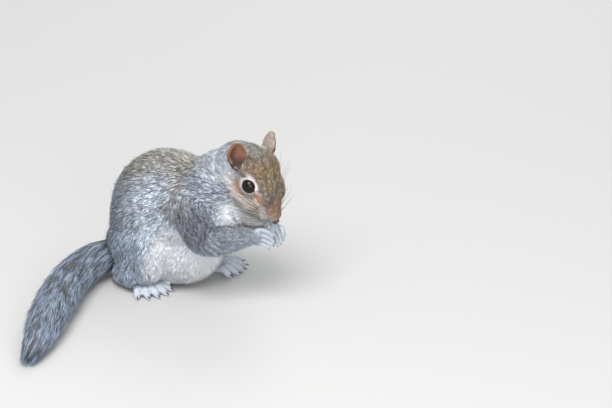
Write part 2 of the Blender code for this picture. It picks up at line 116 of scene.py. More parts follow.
# Under the jaw, the bent neck folds the loose skin of the throat into a soft roll: its path and half width.
THROAT_ROLL = [(82, -2, 76), (89, -3, 74.5), (96, -4, 73.5), (102, -4.5, 74), (106, -5, 76)]
THROAT_HALF = [8.5, 8.5, 8, 7, 5]
# A ring of muscle carries the lids: how far from the eye's middle, how far round, and its half width.
LID_RING_FAR, LID_RING_TURN, LID_RING_HALF = 6.2, math.radians(88), 1.5
LID_RING_STEPS = 48
TUBE_CORNERS = 16
SEAL = 0.45  # how far the solids swell to close the thin cuts between them
OUTLINE_GRAIN, HIDE_GRAIN = 0.75, 0.6
HIDE_SHARE = 0.3  # of the triangles, kept where the hide is smooth

PARTS = list(COAT)
solids = {}
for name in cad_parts:
    if not name.startswith("eye"):
        solids[name] = next(k for k, part in enumerate(PARTS) if name.startswith(part))


def smooth_step(value, low, high):
    """0 below low and 1 above high, with a soft rise between them."""
    share = np.clip((value - low) / (high - low), 0, 1)
    return share * share * (3 - 2 * share)


def mesh_of(name, points, triangles):
    """A smooth mesh of triangles through points in the animal's own millimetres."""
    mesh = bpy.data.meshes.new(name)
    mesh.vertices.add(len(points))
    mesh.vertices.foreach_set("co", ((points + ORIGIN) * MM).astype(np.float32).ravel())
    mesh.loops.add(triangles.size)
    mesh.loops.foreach_set("vertex_index", triangles.astype(np.int32).ravel())
    mesh.polygons.add(len(triangles))
    mesh.polygons.foreach_set("loop_start", np.arange(0, triangles.size, 3, dtype=np.int32))
    mesh.polygons.foreach_set("use_smooth", np.ones(len(triangles), bool))
    mesh.update(calc_edges=True)
    return mesh


def placed(name, data):
    """A new object in the scene."""
    made = bpy.data.objects.new(name, data)
    bpy.context.scene.collection.objects.link(made)
    return made


def settled(worker):
    """The mesh that a worker object's modifiers give. The worker is removed."""
    made = bpy.data.meshes.new_from_object(worker.evaluated_get(bpy.context.evaluated_depsgraph_get()))
    bpy.data.objects.remove(worker)
    return made


def with_modifiers(mesh, *settings):
    """The mesh after the given modifiers, each a type and its values."""
    worker = placed("worker", mesh)
    for kind, values in settings:
        modifier = worker.modifiers.new(kind.lower(), kind)
        for name, value in values.items():
            setattr(modifier, name, value)
    return settled(worker)


def fused(points, triangles, grain, rounding):
    """One closed surface round overlapping forms."""
    return with_modifiers(
        mesh_of("forms", points, triangles),
        ("REMESH", {"mode": "VOXEL", "voxel_size": grain * MM, "use_smooth_shade": True}),
        ("SMOOTH", {"factor": 0.5, "iterations": rounding}),
    )


def numbers(rows, field, width, kind=np.float32):
    """One field of every row of a mesh, as an array."""
    made = np.empty(len(rows) * width, kind)
    rows.foreach_get(field, made)
    return made.reshape(-1, width)


def read_back(mesh):
    """A mesh's points in the animal's own millimetres, their normals, its edges and its triangles."""
    mesh.calc_loop_triangles()
    points = numbers(mesh.vertices, "co", 3) / MM - ORIGIN
    normals = numbers(mesh.vertices, "normal", 3)
    edges = numbers(mesh.edges, "vertices", 2, np.int32)
    triangles = numbers(mesh.loop_triangles, "vertices", 3, np.int32)
    return points.astype(float), normals.astype(float), edges, triangles


def relaxed(values, edges, rounds):
    """Values at a mesh's points, evened out along its edges so many times."""
    start, end = edges.T
    count = np.maximum(np.bincount(edges.ravel(), minlength=len(values)), 1)
    for _ in range(rounds):
        total = [
            np.bincount(start, column[end], len(values)) + np.bincount(end, column[start], len(values))
            for column in values.T
        ]
        values = (values + np.stack(total, axis=1) / count[:, None]) / 2
    return values


def tube(path, radii):
    """Points and triangles of a closed tube along a path."""
    path, radii = np.array(path, float), np.array(radii, float)
    along = unit(np.gradient(path, axis=0))
    side = unit(np.cross(along, (0.31, 0.17, 0.94)))
    over = np.cross(side, along)
    turn = np.linspace(0, 2 * math.pi, TUBE_CORNERS, endpoint=False)
    ring = side[:, None] * np.cos(turn)[:, None] + over[:, None] * np.sin(turn)[:, None]
    points = (path[:, None] + ring * radii[:, None, None]).reshape(-1, 3)
    last = len(points)
    corners = [(k, (k + 1) % TUBE_CORNERS) for k in range(TUBE_CORNERS)]
    triangles = []
    for a in range(0, last - TUBE_CORNERS, TUBE_CORNERS):
        for k, n in corners:
            b = a + TUBE_CORNERS
            triangles += [(a + k, a + n, b + n), (a + k, b + n, b + k)]
    for k, n in corners:
        triangles += [(last, n, k), (last + 1, last - TUBE_CORNERS + k, last - TUBE_CORNERS + n)]
    return np.vstack([points, path[:1], path[-1:]]), np.array(triangles)


def through(rows, steps):
    """Rows on a smooth curve through the given rows, with steps of them for each stretch."""
    rows = np.array(rows, float)
    ends = np.vstack([2 * rows[0] - rows[1], rows, 2 * rows[-1] - rows[-2]])
    made = []
    for a, b, c, d in zip(ends, ends[1:], ends[2:], ends[3:]):
        for t in np.arange(steps) / steps:
            cubic = (3 * b - a - 3 * c + d) * t**3
            made.append(0.5 * (2 * b + (c - a) * t + (2 * a - 5 * b + 4 * c - d) * t**2 + cubic))
    made.append(rows[-1])
    return np.array(made)


def solid_surface(names, swell):
    """Points, triangles and the part that each triangle is of, for some of the solids."""
    points, triangles, owners = [], [], []
    for name in names:
        form = bmesh.new()
        form.from_mesh(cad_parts[name].data)
        bmesh.ops.remove_doubles(form, verts=form.verts, dist=0.01 * MM)
        form.normal_update()
        form.verts.index_update()
        first = len(points)
        points += [np.array(v.co) / MM - ORIGIN + np.array(v.normal) * swell for v in form.verts]
        triangles += [[first + v.index for v in face.verts] for face in form.faces]
        owners += [solids[name]] * len(form.faces)
        form.free()
    return np.array(points), np.array(triangles), np.array(owners)


def nearest(tree, points):
    """The nearest place on a surface to each point, the surface's normal there and its triangle."""
    found = [tree.find_nearest(point) for point in points.tolist()]
    places = np.array([f[0][:] for f in found])
    return places, np.array([f[1][:] for f in found]), np.array([f[2] for f in found])


def part_shares(points, edges, rounds, tail=False):
    """How far each point of a surface belongs to each part, from 0 to 1, with soft borders."""
    owner = np.where(tail, PARTS.index("tail"), owners[nearest(solid_tree, points)[2]])
    return relaxed(np.eye(len(PARTS))[owner], edges, rounds)


flesh = [name for name in solids if not name.startswith("tail")]
bare_points, bare_triangles, owners = solid_surface(flesh, 0.0)
solid_tree = BVHTree.FromPolygons(bare_points.tolist(), bare_triangles.tolist())
swollen, swollen_triangles, _ = solid_surface(flesh, SEAL)
points, normals, edges, triangles = read_back(fused(swollen, swollen_triangles, OUTLINE_GRAIN, 4))
depth = part_shares(points, edges, 40) @ np.array([row[0] for row in COAT.values()])
for middle, missing, near, far in THINNER:
    depth *= 1 - missing * smooth_step(-np.linalg.norm(points - middle, axis=1), -far, -near)
depth = relaxed(depth[:, None], edges, 12)
inner = points - unit(relaxed(normals, edges, 6)) * depth
tail_path = through(TAIL_PATH, 5)
tail_radius = through(np.array(TAIL_CORE)[:, None], 5)[:, 0]
forms = [(inner, triangles), tube(tail_path, tail_radius), tube(THROAT_ROLL, THROAT_HALF)]
for sign in SIDES.values():
    axis = gaze(sign)
    ahead = unit(FORWARD - (FORWARD @ axis) * axis)
    turn = np.linspace(0, 2 * math.pi, LID_RING_STEPS + 1)[:, None]
    around = np.cos(turn) * ahead + np.sin(turn) * np.cross(axis, ahead)
    outwards = math.cos(LID_RING_TURN) * axis + math.sin(LID_RING_TURN) * around
    forms.append(tube(eye_middle(sign) + LID_RING_FAR * outwards, np.full(len(turn), LID_RING_HALF)))
starts = np.cumsum([0] + [len(form[0]) for form in forms])
form_triangles = np.vstack([form[1] + start for form, start in zip(forms, starts)])
raw_hide = fused(np.vstack([form[0] for form in forms]), form_triangles, HIDE_GRAIN, 3)

# Folds pressed into the hide: the mouth and the lip's cleft, as forward, sideways and up on the head, and
# the gaps between the fingers. Each has a depth and a half width.
MOUTH = [(31.5, 0, -11.6), (29.5, 3.0, -12.6), (26, 6.0, -13.6), (21, 8.2, -14.6), (16, 9.2, -15.2)]
MOUTH_DEEP, MOUTH_HALF = 1.1, 0.75
LIP_CLEFT = [(32.5, 0, -8.5), (31.5, 0, -11.6)]
CLEFT_DEEP, CLEFT_HALF = 0.7, 0.55
FINGER_GAP_DEEP, FINGER_GAP_HALF = 1.5, 0.85
FINGER_GAP_OUT = 1.6  # from the middle of the fingers to where the gaps open
FOLD_REACH = 15  # nothing is pressed further than this from the middle of a fold
# The orbit: under the lids the hide stays this far from the eye's middle, and it rises away from them.
SOCKET_BOTTOM, SOCKET_RISE = 5.6, 9.8
SOCKET_FROM, SOCKET_TO = math.radians(72), math.radians(117)
# A brow that stands this far over the orbit, this far round from where the eye looks, and this far up from
# it, is left as it is.
BROW_OVER, BROW_ROUND, BROW_UP = (2.5, 5.5), (math.radians(55), math.radians(68)), (0.35, 0.7)
# Round the lids the hide is drawn up into a brim, this far from the eye's middle and between these turns.
BRIM, BRIM_FROM, BRIM_TO = 6.75, (math.radians(70), math.radians(77)), (math.radians(95), math.radians(125))
# The hands as the solids have them: wrist, middle of the knuckles, the way of their row and of the fingers.
WRIST = {"right": (100, -14, 60.7), "left": (107, 3, 62.2)}
KNUCKLES = {"right": (107.0, -11.5, 61.6), "left": (115.0, 0.3, 64.4)}
KNUCKLE_ROW = {"right": (0.2, 0.1, 1.0), "left": (0.75, 0.0, 0.65)}
FINGER_WAY = {"right": (0.75, 0.15, -0.35), "left": (0.35, -0.15, -0.95)}
FINGER_SPACING = 3.9
FINGER_LENGTH = [9.4, 12.0, 12.2, 10.4]


def path_place(points, path):
    """How far points are from a path, and how many stations along it the nearest place is."""
    path = np.array(path, float)
    start, step = path[:-1], np.diff(path, axis=0)
    share = np.einsum("nsk,sk->ns", points[:, None] - start, step) / (step**2).sum(axis=1)
    share = np.clip(share, 0, 1)
    far = np.linalg.norm(points[:, None] - start - share[..., None] * step, axis=2)
    best = far.argmin(axis=1)
    rows = np.arange(len(points))
    return far[rows, best], best + share[rows, best]


def hand_axes(name):
    """The middle of a hand's knuckles, the way of their row, of the fingers and of the back of the hand."""
    knuckles = np.array(KNUCKLES[name])
    ways = np.array(KNUCKLE_ROW[name]), np.array(FINGER_WAY[name]), knuckles - WRIST[name]
    return knuckles, *[unit(way) for way in ways]


folds = [(on_head(*np.array(LIP_CLEFT, float).T), CLEFT_DEEP, CLEFT_HALF)]
for name, sign in SIDES.items():
    folds.append((on_head(*(np.array(MOUTH) * (1, sign, 1)).T), MOUTH_DEEP, MOUTH_HALF))
    knuckles, row, way, back = hand_axes(name)
    for k in range(3):
        start, reach = knuckles + row * (k - 1) * FINGER_SPACING, min(FINGER_LENGTH[k : k + 2])
        knee = start + back * 2.6 + way * reach * 0.5
        gap = np.array([start + back * 1.0, knee, start + back * 1.2 + way * (reach + 1)])
        for face in (-1, 1):
            opening = gap + face * FINGER_GAP_OUT * np.cross(row, way)
            folds.append((opening, FINGER_GAP_DEEP, FINGER_GAP_HALF))


def folded(points):
    """How deep the folds are at points, and how much painted shade lies in them there, from 0 to 1."""
    deep, dark = np.zeros(len(points)), np.zeros(len(points))
    for route, depth, half in folds:
        near = np.linalg.norm(points - route.mean(axis=0), axis=1) < FOLD_REACH
        share = np.exp(-((path_place(points[near], route)[0] / half) ** 2))
        deep[near] = np.maximum(deep[near], depth * share)
        dark[near] = np.maximum(dark[near], share)
    return deep, dark


points, normals, edges, triangles = read_back(raw_hide)
for sign in SIDES.values():
    spoke = points - eye_middle(sign)
    far = np.linalg.norm(spoke, axis=1)
    tilt = np.arccos(np.clip(spoke @ gaze(sign) / far, -1, 1))
    round_orbit = np.clip((tilt - SOCKET_FROM) / (SOCKET_TO - SOCKET_FROM), 0, 1)
    limit = SOCKET_BOTTOM + SOCKET_RISE * round_orbit**1.4
    limit[(far > SOCKET_BOTTOM + SOCKET_RISE) | (tilt > SOCKET_TO)] = np.inf
    over = np.where(far > limit, far - limit, 0)
    kept = smooth_step(over, *BROW_OVER) * smooth_step(tilt, *BROW_ROUND)
    kept *= smooth_step(spoke @ UPWARD / far, *BROW_UP)
    brim = BRIM * smooth_step(tilt, *BRIM_FROM) * (1 - smooth_step(tilt, *BRIM_TO))
    moved = np.maximum(far - over * (1 - kept), brim)
    points = eye_middle(sign) + spoke * (moved / far)[:, None]
points = points - normals * folded(points)[0][:, None]
lighter = ("DECIMATE", {"ratio": HIDE_SHARE}), ("TRIANGULATE", {})
points, normals, edges, triangles = read_back(with_modifiers(mesh_of("hide", points, triangles), *lighter))
# Crumbs that came loose are left out. Points take the lowest number among their neighbours, until only
# those of one shell have the same number, and the largest shell is the hide.
label = np.arange(len(points))
while True:
    low = label[edges].min(axis=1)
    spread = label.copy()
    np.minimum.at(spread, edges[:, 0], low)
    np.minimum.at(spread, edges[:, 1], low)
    spread = spread[spread]
    if (spread == label).all():
        break
    label = spread
main_shell = label == np.bincount(label).argmax()
renumber = np.cumsum(main_shell) - 1
triangles = renumber[triangles[main_shell[triangles[:, 0]]]]
hide = mesh_of("hide", points[main_shell], triangles)
points, normals, edges, triangles = read_back(hide)
# The tail begins some stations along its path, and is as thick as its core and a little more.
TAIL_FROM, CORE_MORE = 5, 1.0
core_far, core_station = path_place(points, tail_path)
on_core = core_far < np.interp(core_station, np.arange(len(tail_radius)), tail_radius) + CORE_MORE
shares = part_shares(points, edges, 25, on_core & (core_station > TAIL_FROM))


def share_of(*parts):
    """How far the points of the hide belong to some of the parts."""
    return shares[:, [PARTS.index(part) for part in parts]].sum(axis=1)


# ---- Markings and hide material ----------------------------------------------------------------------------
# A grey squirrel is grey above, with an olive-brown saddle and crown, rufous round the eyes and on the
# muzzle, a pale ring round each eye, and white below. Each grey hair is banded: dark at its root, then buff,
# then black, with a white tip. Hide and coat take their colours from the same marks. Some marks also hold
# painted shade and painted light, as noted at each, and the folds and the cups of the ears get painted shade.

GROUND = ("#A3A9B5", 1.0)
# Where each mark lies: its frame, its middle and half sizes, how soft its edge is, how strong it is, its
# colour and how strongly its hairs are banded. A mark is on both sides.
MARKS = [
    ("body", (-20, 30, 66), (18, 32, 36), 0.7, 0.6, "#6C727E", 1.0),  # darker back of the rump: partly its own darker grey, partly painted shade on the side away from the light
    ("body", (26, 42, 84), (22, 24, 24), 0.6, 0.85, "#CDD4E0", 0.95),  # pale flank
    ("body", (4, 46, 36), (22, 16, 26), 0.6, 0.8, "#A1B0C3", 0.9),  # thigh
    ("body", (59, 42, 72), (24, 17, 21), 0.6, 0.9, "#676B74", 1.0),  # darker shoulder and arm: partly their own darker fur, partly painted shade
    ("body", (88, 24, 64), (13, 21, 10), 0.6, 0.6, "#BCC2CC", 0.9),  # forearm: a lighter grey that is painted light over the shade under the shoulder's fur
    ("body", (40, 38, 82), (10, 14, 7), 0.7, 0.4, "#857C75", 1.0),  # brownish fold behind the arm
    ("body", (29, 42, 59), (20, 14, 13), 0.5, 0.95, "#DCE4F0", 0.75),  # pale flank above the thigh
    ("body", (100, 12, 62), (9, 9, 10), 0.5, 0.7, "#C6CED9", 0.5),  # wrist
    ("body", (49, 20, 30), (33, 55, 38), 0.16, 1.0, "#F4F7FB", 0.06),  # belly
    ("body", (88, 0, 73), (20, 23, 21), 0.3, 1.0, "#F0F3F7", 0.08),  # breast and throat
    ("body", (34, 34, 0), (30, 24, 7), 0.4, 0.8, "#C8D0DA", 0.5),  # lower edge of the leg
    ("body", (100, 0, 68), (14, 13, 12), 0.5, 0.95, "#EDEFF2", 0.5),  # inner side of the arms: pale fur, lightened further as painted light over the shade between head and arms
    ("head", (-29, 20, -19), (16, 14, 26), 0.5, 0.8, "#C9CED8", 0.8),  # silvery side of the neck
    ("head", (-14, 0, 6), (36, 19, 15), 0.3, 1.0, "#817A6E", 1.0),  # crown and brow
    ("head", (-26, 0, 12), (14, 18, 10), 0.6, 0.6, "#A39D94", 1.0),  # top of the head
    ("head", (6, 5, 13), (17, 8, 8), 0.6, 0.8, "#94805F", 1.0),  # golden streak of the brow
    ("head", (-42, 0, -2), (13, 26, 26), 0.5, 0.7, "#B5BAC4", 0.9),  # nape
    ("head", (8, 16, -10.5), (21, 12, 8), 0.4, 0.9, "#F1E8DE", 0.35),  # cheek: pale fur, lightened further as painted light over the shade of its downward face
    ("head", (-14, 19, -10), (10, 9, 9), 0.5, 0.85, "#D8DCE2", 0.4),  # behind the cheek
    ("head", (15, 0, 6), (8, 12, 8), 0.6, 0.5, "#837666", 1.0),  # dark flecks over the muzzle
    ("head", (26, 0, 1), (9, 10, 7), 0.5, 0.85, "#9F7552", 0.9),  # bridge of the muzzle
    ("head", (12, 12, 1.5), (8, 6, 4), 0.6, 0.85, "#C08C60", 0.5),  # before the eye
    ("head", (-1, 18, -7.5), (10, 6, 5), 0.6, 0.85, "#A97D5A", 0.5),  # below and behind the eye
    ("head", (-7, 11, 11), (10, 8, 5), 0.6, 0.5, "#A27A50", 0.9),  # above the eye
    ("head", (19, 11, -8), (9, 7, 6), 0.5, 0.85, "#D6C9BD", 0.4),  # whisker pad
    ("head", (18, 0, -20), (18, 16, 8), 0.35, 0.9, "#DAD8D5", 0.15),  # chin and jowl
    ("head", (-27, 12, 12), (7, 6, 7), 0.4, 0.85, "#FBF9F7", 0.1),  # tuft behind the ear
    ("head", (1.0, 18.5, 3.1), (10.3, 7.4, 9.7), 0.12, 1.0, "#EFE6E8", 0.05),  # ring round the eye
]
SADDLE, SADDLE_SHARE = ("#A09A8F", 1.0), 0.9
PAW = ("#D4DBE5", 0.3)
ENDS = {"forepaw": PAW, "hind_foot": PAW, "tail": ("#8D8A8B", 1.0), "ear": ("#AD9F96", 0.6)}
EAR_INSIDE = ("#885E4C", 0.0)
# A dark streak up each ear's cup: its colour, and its middle, half sizes and soft edge.
EAR_STREAK, EAR_STREAK_AT = ("#4A2C24", 0.0), ((-26, 22.5, 8), (9, 2.6, 9), 0.8)
# Painted shade low in the cup of each ear, near its root.
EAR_CUP_SHADE = ("#3F2C28", 0.0)
EAR_RIM = ("#C3A88C", 0.3)
EAR_ROOT = (-18.0, 18.3, 2.4)
EAR_FACING = (0.62, 0.78)  # how far forward and outwards the cup of an ear opens
FOLD_SHADE = 0.82  # how much of the colour painted shade takes away in the depth of a fold
NOSE_LINE = (60, 0, -5.6)  # the nose sits where a line back from here meets the muzzle
NOSE_BARE = (3.2, 4.4)  # from the middle of the nose, how far the skin is bare and where the coat is full
muzzle_end, *_ = BVHTree.FromPolygons(points.tolist(), triangles.tolist()).ray_cast(
    Vector(on_head(*NOSE_LINE)), Vector(-FORWARD)
)
NOSE_AT = np.array(muzzle_end)


def linear(colour):
    """A colour as linear red, green and blue, from its sRGB hex value."""
    parts = np.array([int(colour[k : k + 2], 16) for k in (1, 3, 5)]) / 255
    return np.where(parts <= 0.04045, parts / 12.92, ((parts + 0.055) / 1.055) ** 2.4)


def paint(coats, share, colour, banding):
    """Colours with one more laid over them, by its share at each point."""
    return coats + (np.array([*linear(colour), banding]) - coats) * share[:, None]


def oval_share(places, middle, halves, soft):
    """1 inside an oval and 0 outside it, with a soft edge. It is on both sides of the middle plane."""
    mirrored = np.stack([places[:, 0], np.abs(places[:, 1]), places[:, 2]], axis=1)
    far = np.linalg.norm((mirrored - middle) / halves, axis=1)
    return 1 - smooth_step(far, 1 - soft, 1 + soft)


def node(material, kind, values=None, stops=(), **settings):
    """A new node in a material: its settings, a ramp's stops, and values or other nodes for its inputs."""
    made = material.node_tree.nodes.new("ShaderNode" + kind)
    for name, value in settings.items():
        setattr(made, name, value)
    for _ in stops[2:]:
        made.color_ramp.elements.new(0.5)
    for element, (at, colour) in zip(made.color_ramp.elements if stops else (), stops):
        element.position = at
        element.color = (*(linear(colour) if isinstance(colour, str) else [colour] * 3), 1)
    for socket, value in (values or {}).items():
        if isinstance(value, bpy.types.Node):
            value = value.outputs[0]
        if isinstance(value, bpy.types.NodeSocket):
            material.node_tree.links.new(value, made.inputs[socket])
        else:
            made.inputs[socket].default_value = value
    return made


def new_material(name):
    """An empty material."""
    made = bpy.data.materials.new(name)
    made.use_nodes = True
    made.node_tree.nodes.clear()
    return made


def add_attribute(mesh, name, values):
    """An attribute with one number or colour at each point of a mesh."""
    kind, field = ("FLOAT_COLOR", "color") if values.ndim > 1 else ("FLOAT", "value")
    mesh.attributes.new(name, kind, "POINT").data.foreach_set(field, values.astype(np.float32).ravel())


def finished_piece(name, mesh, material, slot, *replaced):
    """An object that rides on the squirrel, with its finish and the solids that it stands for."""
    piece = placed(name, mesh)
    mesh.materials.clear()
    mesh.materials.append(material)
    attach(piece, "root")
    if replaced:
        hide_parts(*replaced)


# Places on the head, as forward, sideways and up from its middle, and the cups of the ears.
on_skull = (points - HEAD_AT) @ HEAD_WAYS.T
skull_side = np.sign(on_skull[:, 1:2])
ear_way = unit(EAR_FACING[0] * FORWARD + EAR_FACING[1] * skull_side * LEFTWARD)
into_ear = np.einsum("nk,nk->n", normals, ear_way)
hollow = smooth_step(into_ear, -0.15, 0.25) * smooth_step(share_of("ear"), 0.45, 0.75)
ear_root = on_head(EAR_ROOT[0], skull_side[:, 0] * EAR_ROOT[1], EAR_ROOT[2])

coats = np.tile([*linear(GROUND[0]), GROUND[1]], (len(points), 1))
upright = normals @ unit(np.array((-0.25, 0, 1.0)))
saddle = SADDLE_SHARE * smooth_step(upright, 0.4, 0.98) * smooth_step(-points[:, 0], -74, -42)
coats = paint(coats, saddle * smooth_step(points[:, 2], 45, 70), *SADDLE)
head_share = smooth_step(share_of("head") + 0.5 * share_of("neck"), 0.2, 0.6)
arm_share = share_of("upper_arm", "forearm")
for place, middle, halves, soft, strength, colour, banding in MARKS:
    share = oval_share(on_skull if place == "head" else points, middle, halves, soft) * strength
    share *= head_share if place == "head" else 1 - smooth_step(arm_share * (banding < 0.5), 0.35, 0.7)
    coats = paint(coats, share, colour, banding)
for part, mark in ENDS.items():
    coats = paint(coats, smooth_step(share_of(part), 0.3, 0.7), *mark)
coats = paint(coats, hollow, *EAR_INSIDE)
coats = paint(coats, 0.85 * hollow * oval_share(on_skull, *EAR_STREAK_AT), *EAR_STREAK)
# Painted shade in the lower cup of each ear, fading out from 4 to 12 mm above its root.
coats = paint(coats, hollow * (1 - smooth_step(points[:, 2] - ear_root[:, 2], 4, 12)), *EAR_CUP_SHADE)
coats = paint(coats, 4 * hollow * (1 - hollow), *EAR_RIM)
nose_share = 1 - smooth_step(np.linalg.norm(points - NOSE_AT, axis=1), *NOSE_BARE)
bare = np.maximum(hollow, nose_share)
# Painted shade darkens the colour in the folds: the mouth, the lip's cleft and the gaps between the fingers.
_, fold_shade = folded(points)
coats[:, :3] *= (1 - FOLD_SHADE * fold_shade)[:, None]
skin_colours = coats.copy()
skin_colours[:, :3] *= (0.62 + 0.38 * np.maximum(bare, 1 - coats[:, 3]))[:, None]
add_attribute(hide, "coat_colour", skin_colours)

# Soft matt skin, mottled and pitted where the hairs are rooted.
hide_finish = new_material("furred_skin")
ROOTS_MM = 0.9  # between the roots of the locks
PITS_MM = 0.25  # how deep the pits at the roots are
ground = node(hide_finish, "Attribute", attribute_name="coat_colour")
place = node(hide_finish, "TexCoord").outputs["Object"]
grain = node(hide_finish, "TexNoise", {"Vector": place, "Scale": 1 / (ROOTS_MM * MM), "Detail": 3.0})
shade = node(hide_finish, "MapRange", {"Value": grain, "To Min": 0.7, "To Max": 1.25})
toned = node(hide_finish, "VectorMath", {0: ground, "Scale": shade}, operation="SCALE")
relief = node(hide_finish, "Bump", {"Height": grain, "Distance": PITS_MM * MM, "Strength": 0.7})
skin = node(hide_finish, "BsdfPrincipled", {"Base Color": toned, "Roughness": 0.72, "Normal": relief})
node(hide_finish, "OutputMaterial", {"Surface": skin})
finished_piece("hide", hide, hide_finish, "grey_coat", *solids)

# ---- Coat --------------------------------------------------------------------------------------------------
# The winter coat: fine woolly underfur under long guard hairs, in overlapping locks. Every lock here is a
# thin three-sided blade that rises from the hide, bends over and lies back along the body, with its point at
# the outline. Locks that stand together share a lean and a shade.

# Which way the hair lies on each part: away from a place, or along a way whose second number is outwards.
LIE = {
    "trunk": ("from", (80, 0, 108)),
    "neck": ("from", on_head(22, 0, 2)),
    "head": ("from", on_head(36, 0, -7)),
    "ear": ("along", UPWARD - 0.35 * FORWARD),
    "upper_arm": ("along", (0.62, 0.16, -0.75)),
    "forearm": ("along", (0.82, -0.55, 0.10)),
    "forepaw": ("along", (0.80, -0.10, -0.50)),
    "thigh": ("along", (-0.12, 0.0, -1.0)),
    "lower_leg": ("along", (0.12, 0.0, -1.0)),
    "hind_foot": ("along", (0.92, 0.36, -0.12)),
    "tail": ("along", (0.0, 0.0, 0.0)),
}
LIE_ROUNDS = 18


def flat_to(vectors, normals):
    """Vectors laid down on a surface and made one long."""
    return unit(vectors - np.einsum("nk,nk->n", vectors, normals)[:, None] * normals)


mirror = np.ones_like(points)
mirror[:, 1] = np.sign(points[:, 1])
lie = np.zeros_like(points)
for k, (kind, way) in enumerate(LIE.values()):
    guide = unit(points - way) if kind == "from" else np.array(way) * mirror
    lie += shares[:, k : k + 1] * unit(guide)
tail_way = unit(np.gradient(tail_path, axis=0))
lie += shares[:, -1:] * tail_way[np.round(core_station).astype(int)]
lie = flat_to(relaxed(flat_to(lie, normals), edges, LIE_ROUNDS), normals)
for sign in SIDES.values():
    outward = points - eye_middle(sign)
    far = np.linalg.norm(outward, axis=1, keepdims=True)
    outward = flat_to(outward, normals)
    towards = np.minimum(np.einsum("nk,nk->n", lie, outward)[:, None], 0)
    lie = flat_to(lie - 1.5 * towards * outward * (1 - smooth_step(far, 8.5, 13)), normals)

hide_tree = BVHTree.FromPolygons(points.tolist(), triangles.tolist())
first, second, third = (points[corner] for corner in triangles.T)
triangle_area = np.linalg.norm(np.cross(second - first, third - first), axis=1) / 2


def unwrapped(faces):
    """Each face's corners on a flat unwrap of just those faces of the hide, and nothing on the others."""
    used, place = np.unique(triangles[faces], return_inverse=True)
    patch = placed("patch", mesh_of("patch", points[used], place.reshape(-1, 3)))
    bpy.context.view_layer.objects.active = patch
    patch.select_set(True)
    bpy.ops.object.mode_set(mode="EDIT")
    bpy.ops.mesh.select_all(action="SELECT")
    bpy.ops.uv.smart_project(angle_limit=math.radians(66), island_margin=0.003)
    bpy.ops.object.mode_set(mode="OBJECT")
    flat = np.zeros((len(triangles), 3, 2))
    flat[faces] = numbers(patch.data.uv_layers.active.data, "uv", 2).reshape(-1, 3, 2)
    bpy.data.objects.remove(patch)
    return flat


PATCH = 0.003  # how wide a lock's place on the unwrap is
ROOT_WIDTH = 0.55  # a lock's width at its root, as a share of its widest
RIDGE = 0.42  # its thickness as a share of its width
LEAN = math.radians(10)  # how far locks stray from the lie of the coat
PULL = 0.38  # how far the points of locks that stand together are drawn to one
OWN_SHADE, SHARED_SHADE = 0.55, 0.75  # how far a lock's shade is its own, and shared with those beside it
ROOT_SUNK = 0.25  # how far a lock starts under the hide
FLOOR_CLEAR = 0.3  # and how far above the floor it stays
TOUSLED = 0.35  # how far the height of a lock's point is shared with those beside it
STRAYS = 0.08  # the share of locks that stand out from the outline


def at_roots(values, chosen, weights):
    """Values at the hide's points, read at the roots."""
    return np.einsum("nc,nc...->n...", weights, values[triangles[chosen]])


def blades(name, pieces, finish, slot, root, points_at, widths, up, wide, chosen, weights, shade):
    """Locks as closed blades in one or more pieces, from their centre lines and widths.

    points_at holds the stations of each lock's centre line after its root, the last of which is its point.
    """
    colours = at_roots(coats, chosen, weights)
    flat = np.einsum("nc,ncu->nu", weights, unwrapped(np.unique(chosen))[chosen])
    line = np.stack([root, *points_at], axis=1)
    line[..., 2] = np.maximum(line[..., 2], FLOOR_CLEAR + np.array(widths) * wide[:, None] * RIDGE)
    count, stations = line.shape[:2]
    step = unit(np.gradient(line, axis=1))
    side = unit(np.cross(step, up[:, None]))
    over = np.cross(side, step)
    half = np.array(widths)[None, :, None] * wide[:, None, None] / 2
    rings = [line - side * half, line + side * half, line + over * half * 2 * RIDGE]
    corners = np.stack(rings, axis=2)[:, :-1].reshape(count, -1, 3)
    corners = np.concatenate([corners, line[:, -1:]], axis=1)
    faces = [(0, 1, 2)]
    for k in range(0, 3 * stations - 6, 3):
        for i, n in ((0, 1), (1, 2), (2, 0)):
            faces += [(k + i, k + 3 + i, k + 3 + n), (k + i, k + 3 + n, k + n)]
    last = 3 * (stations - 1)
    faces += [(last - 3 + i, last, last - 3 + (i + 1) % 3) for i in range(3)]
    faces = np.array(faces)
    rise = np.append(np.repeat(np.arange(stations - 1), 3), stations - 1) / (stations - 1)
    across = np.append(np.tile((-1.0, 1.0, 0.0), stations - 1), 0.0)
    spread = PATCH * np.stack([across * 0.5, rise - 0.5], axis=1)
    each = corners.shape[1]
    for piece in range(pieces):
        mine = np.arange(piece, count, pieces)
        starts = (np.arange(len(mine)) * each)[:, None, None]
        mesh = mesh_of(name, corners[mine].reshape(-1, 3), (starts + faces).reshape(-1, 3))
        add_attribute(mesh, "coat_colour", np.repeat(colours[mine], each, axis=0))
        add_attribute(mesh, "along", np.tile(rise, len(mine)))
        add_attribute(mesh, "shade", np.repeat(shade[mine], each))
        uv = (flat[mine, None] + spread).astype(np.float32)[:, faces.ravel()]
        mesh.uv_layers.new(name="OFBake").data.foreach_set("uv", uv.ravel())
        finished_piece(f"{name}_{piece + 1}" if pieces > 1 else name, mesh, finish, slot)


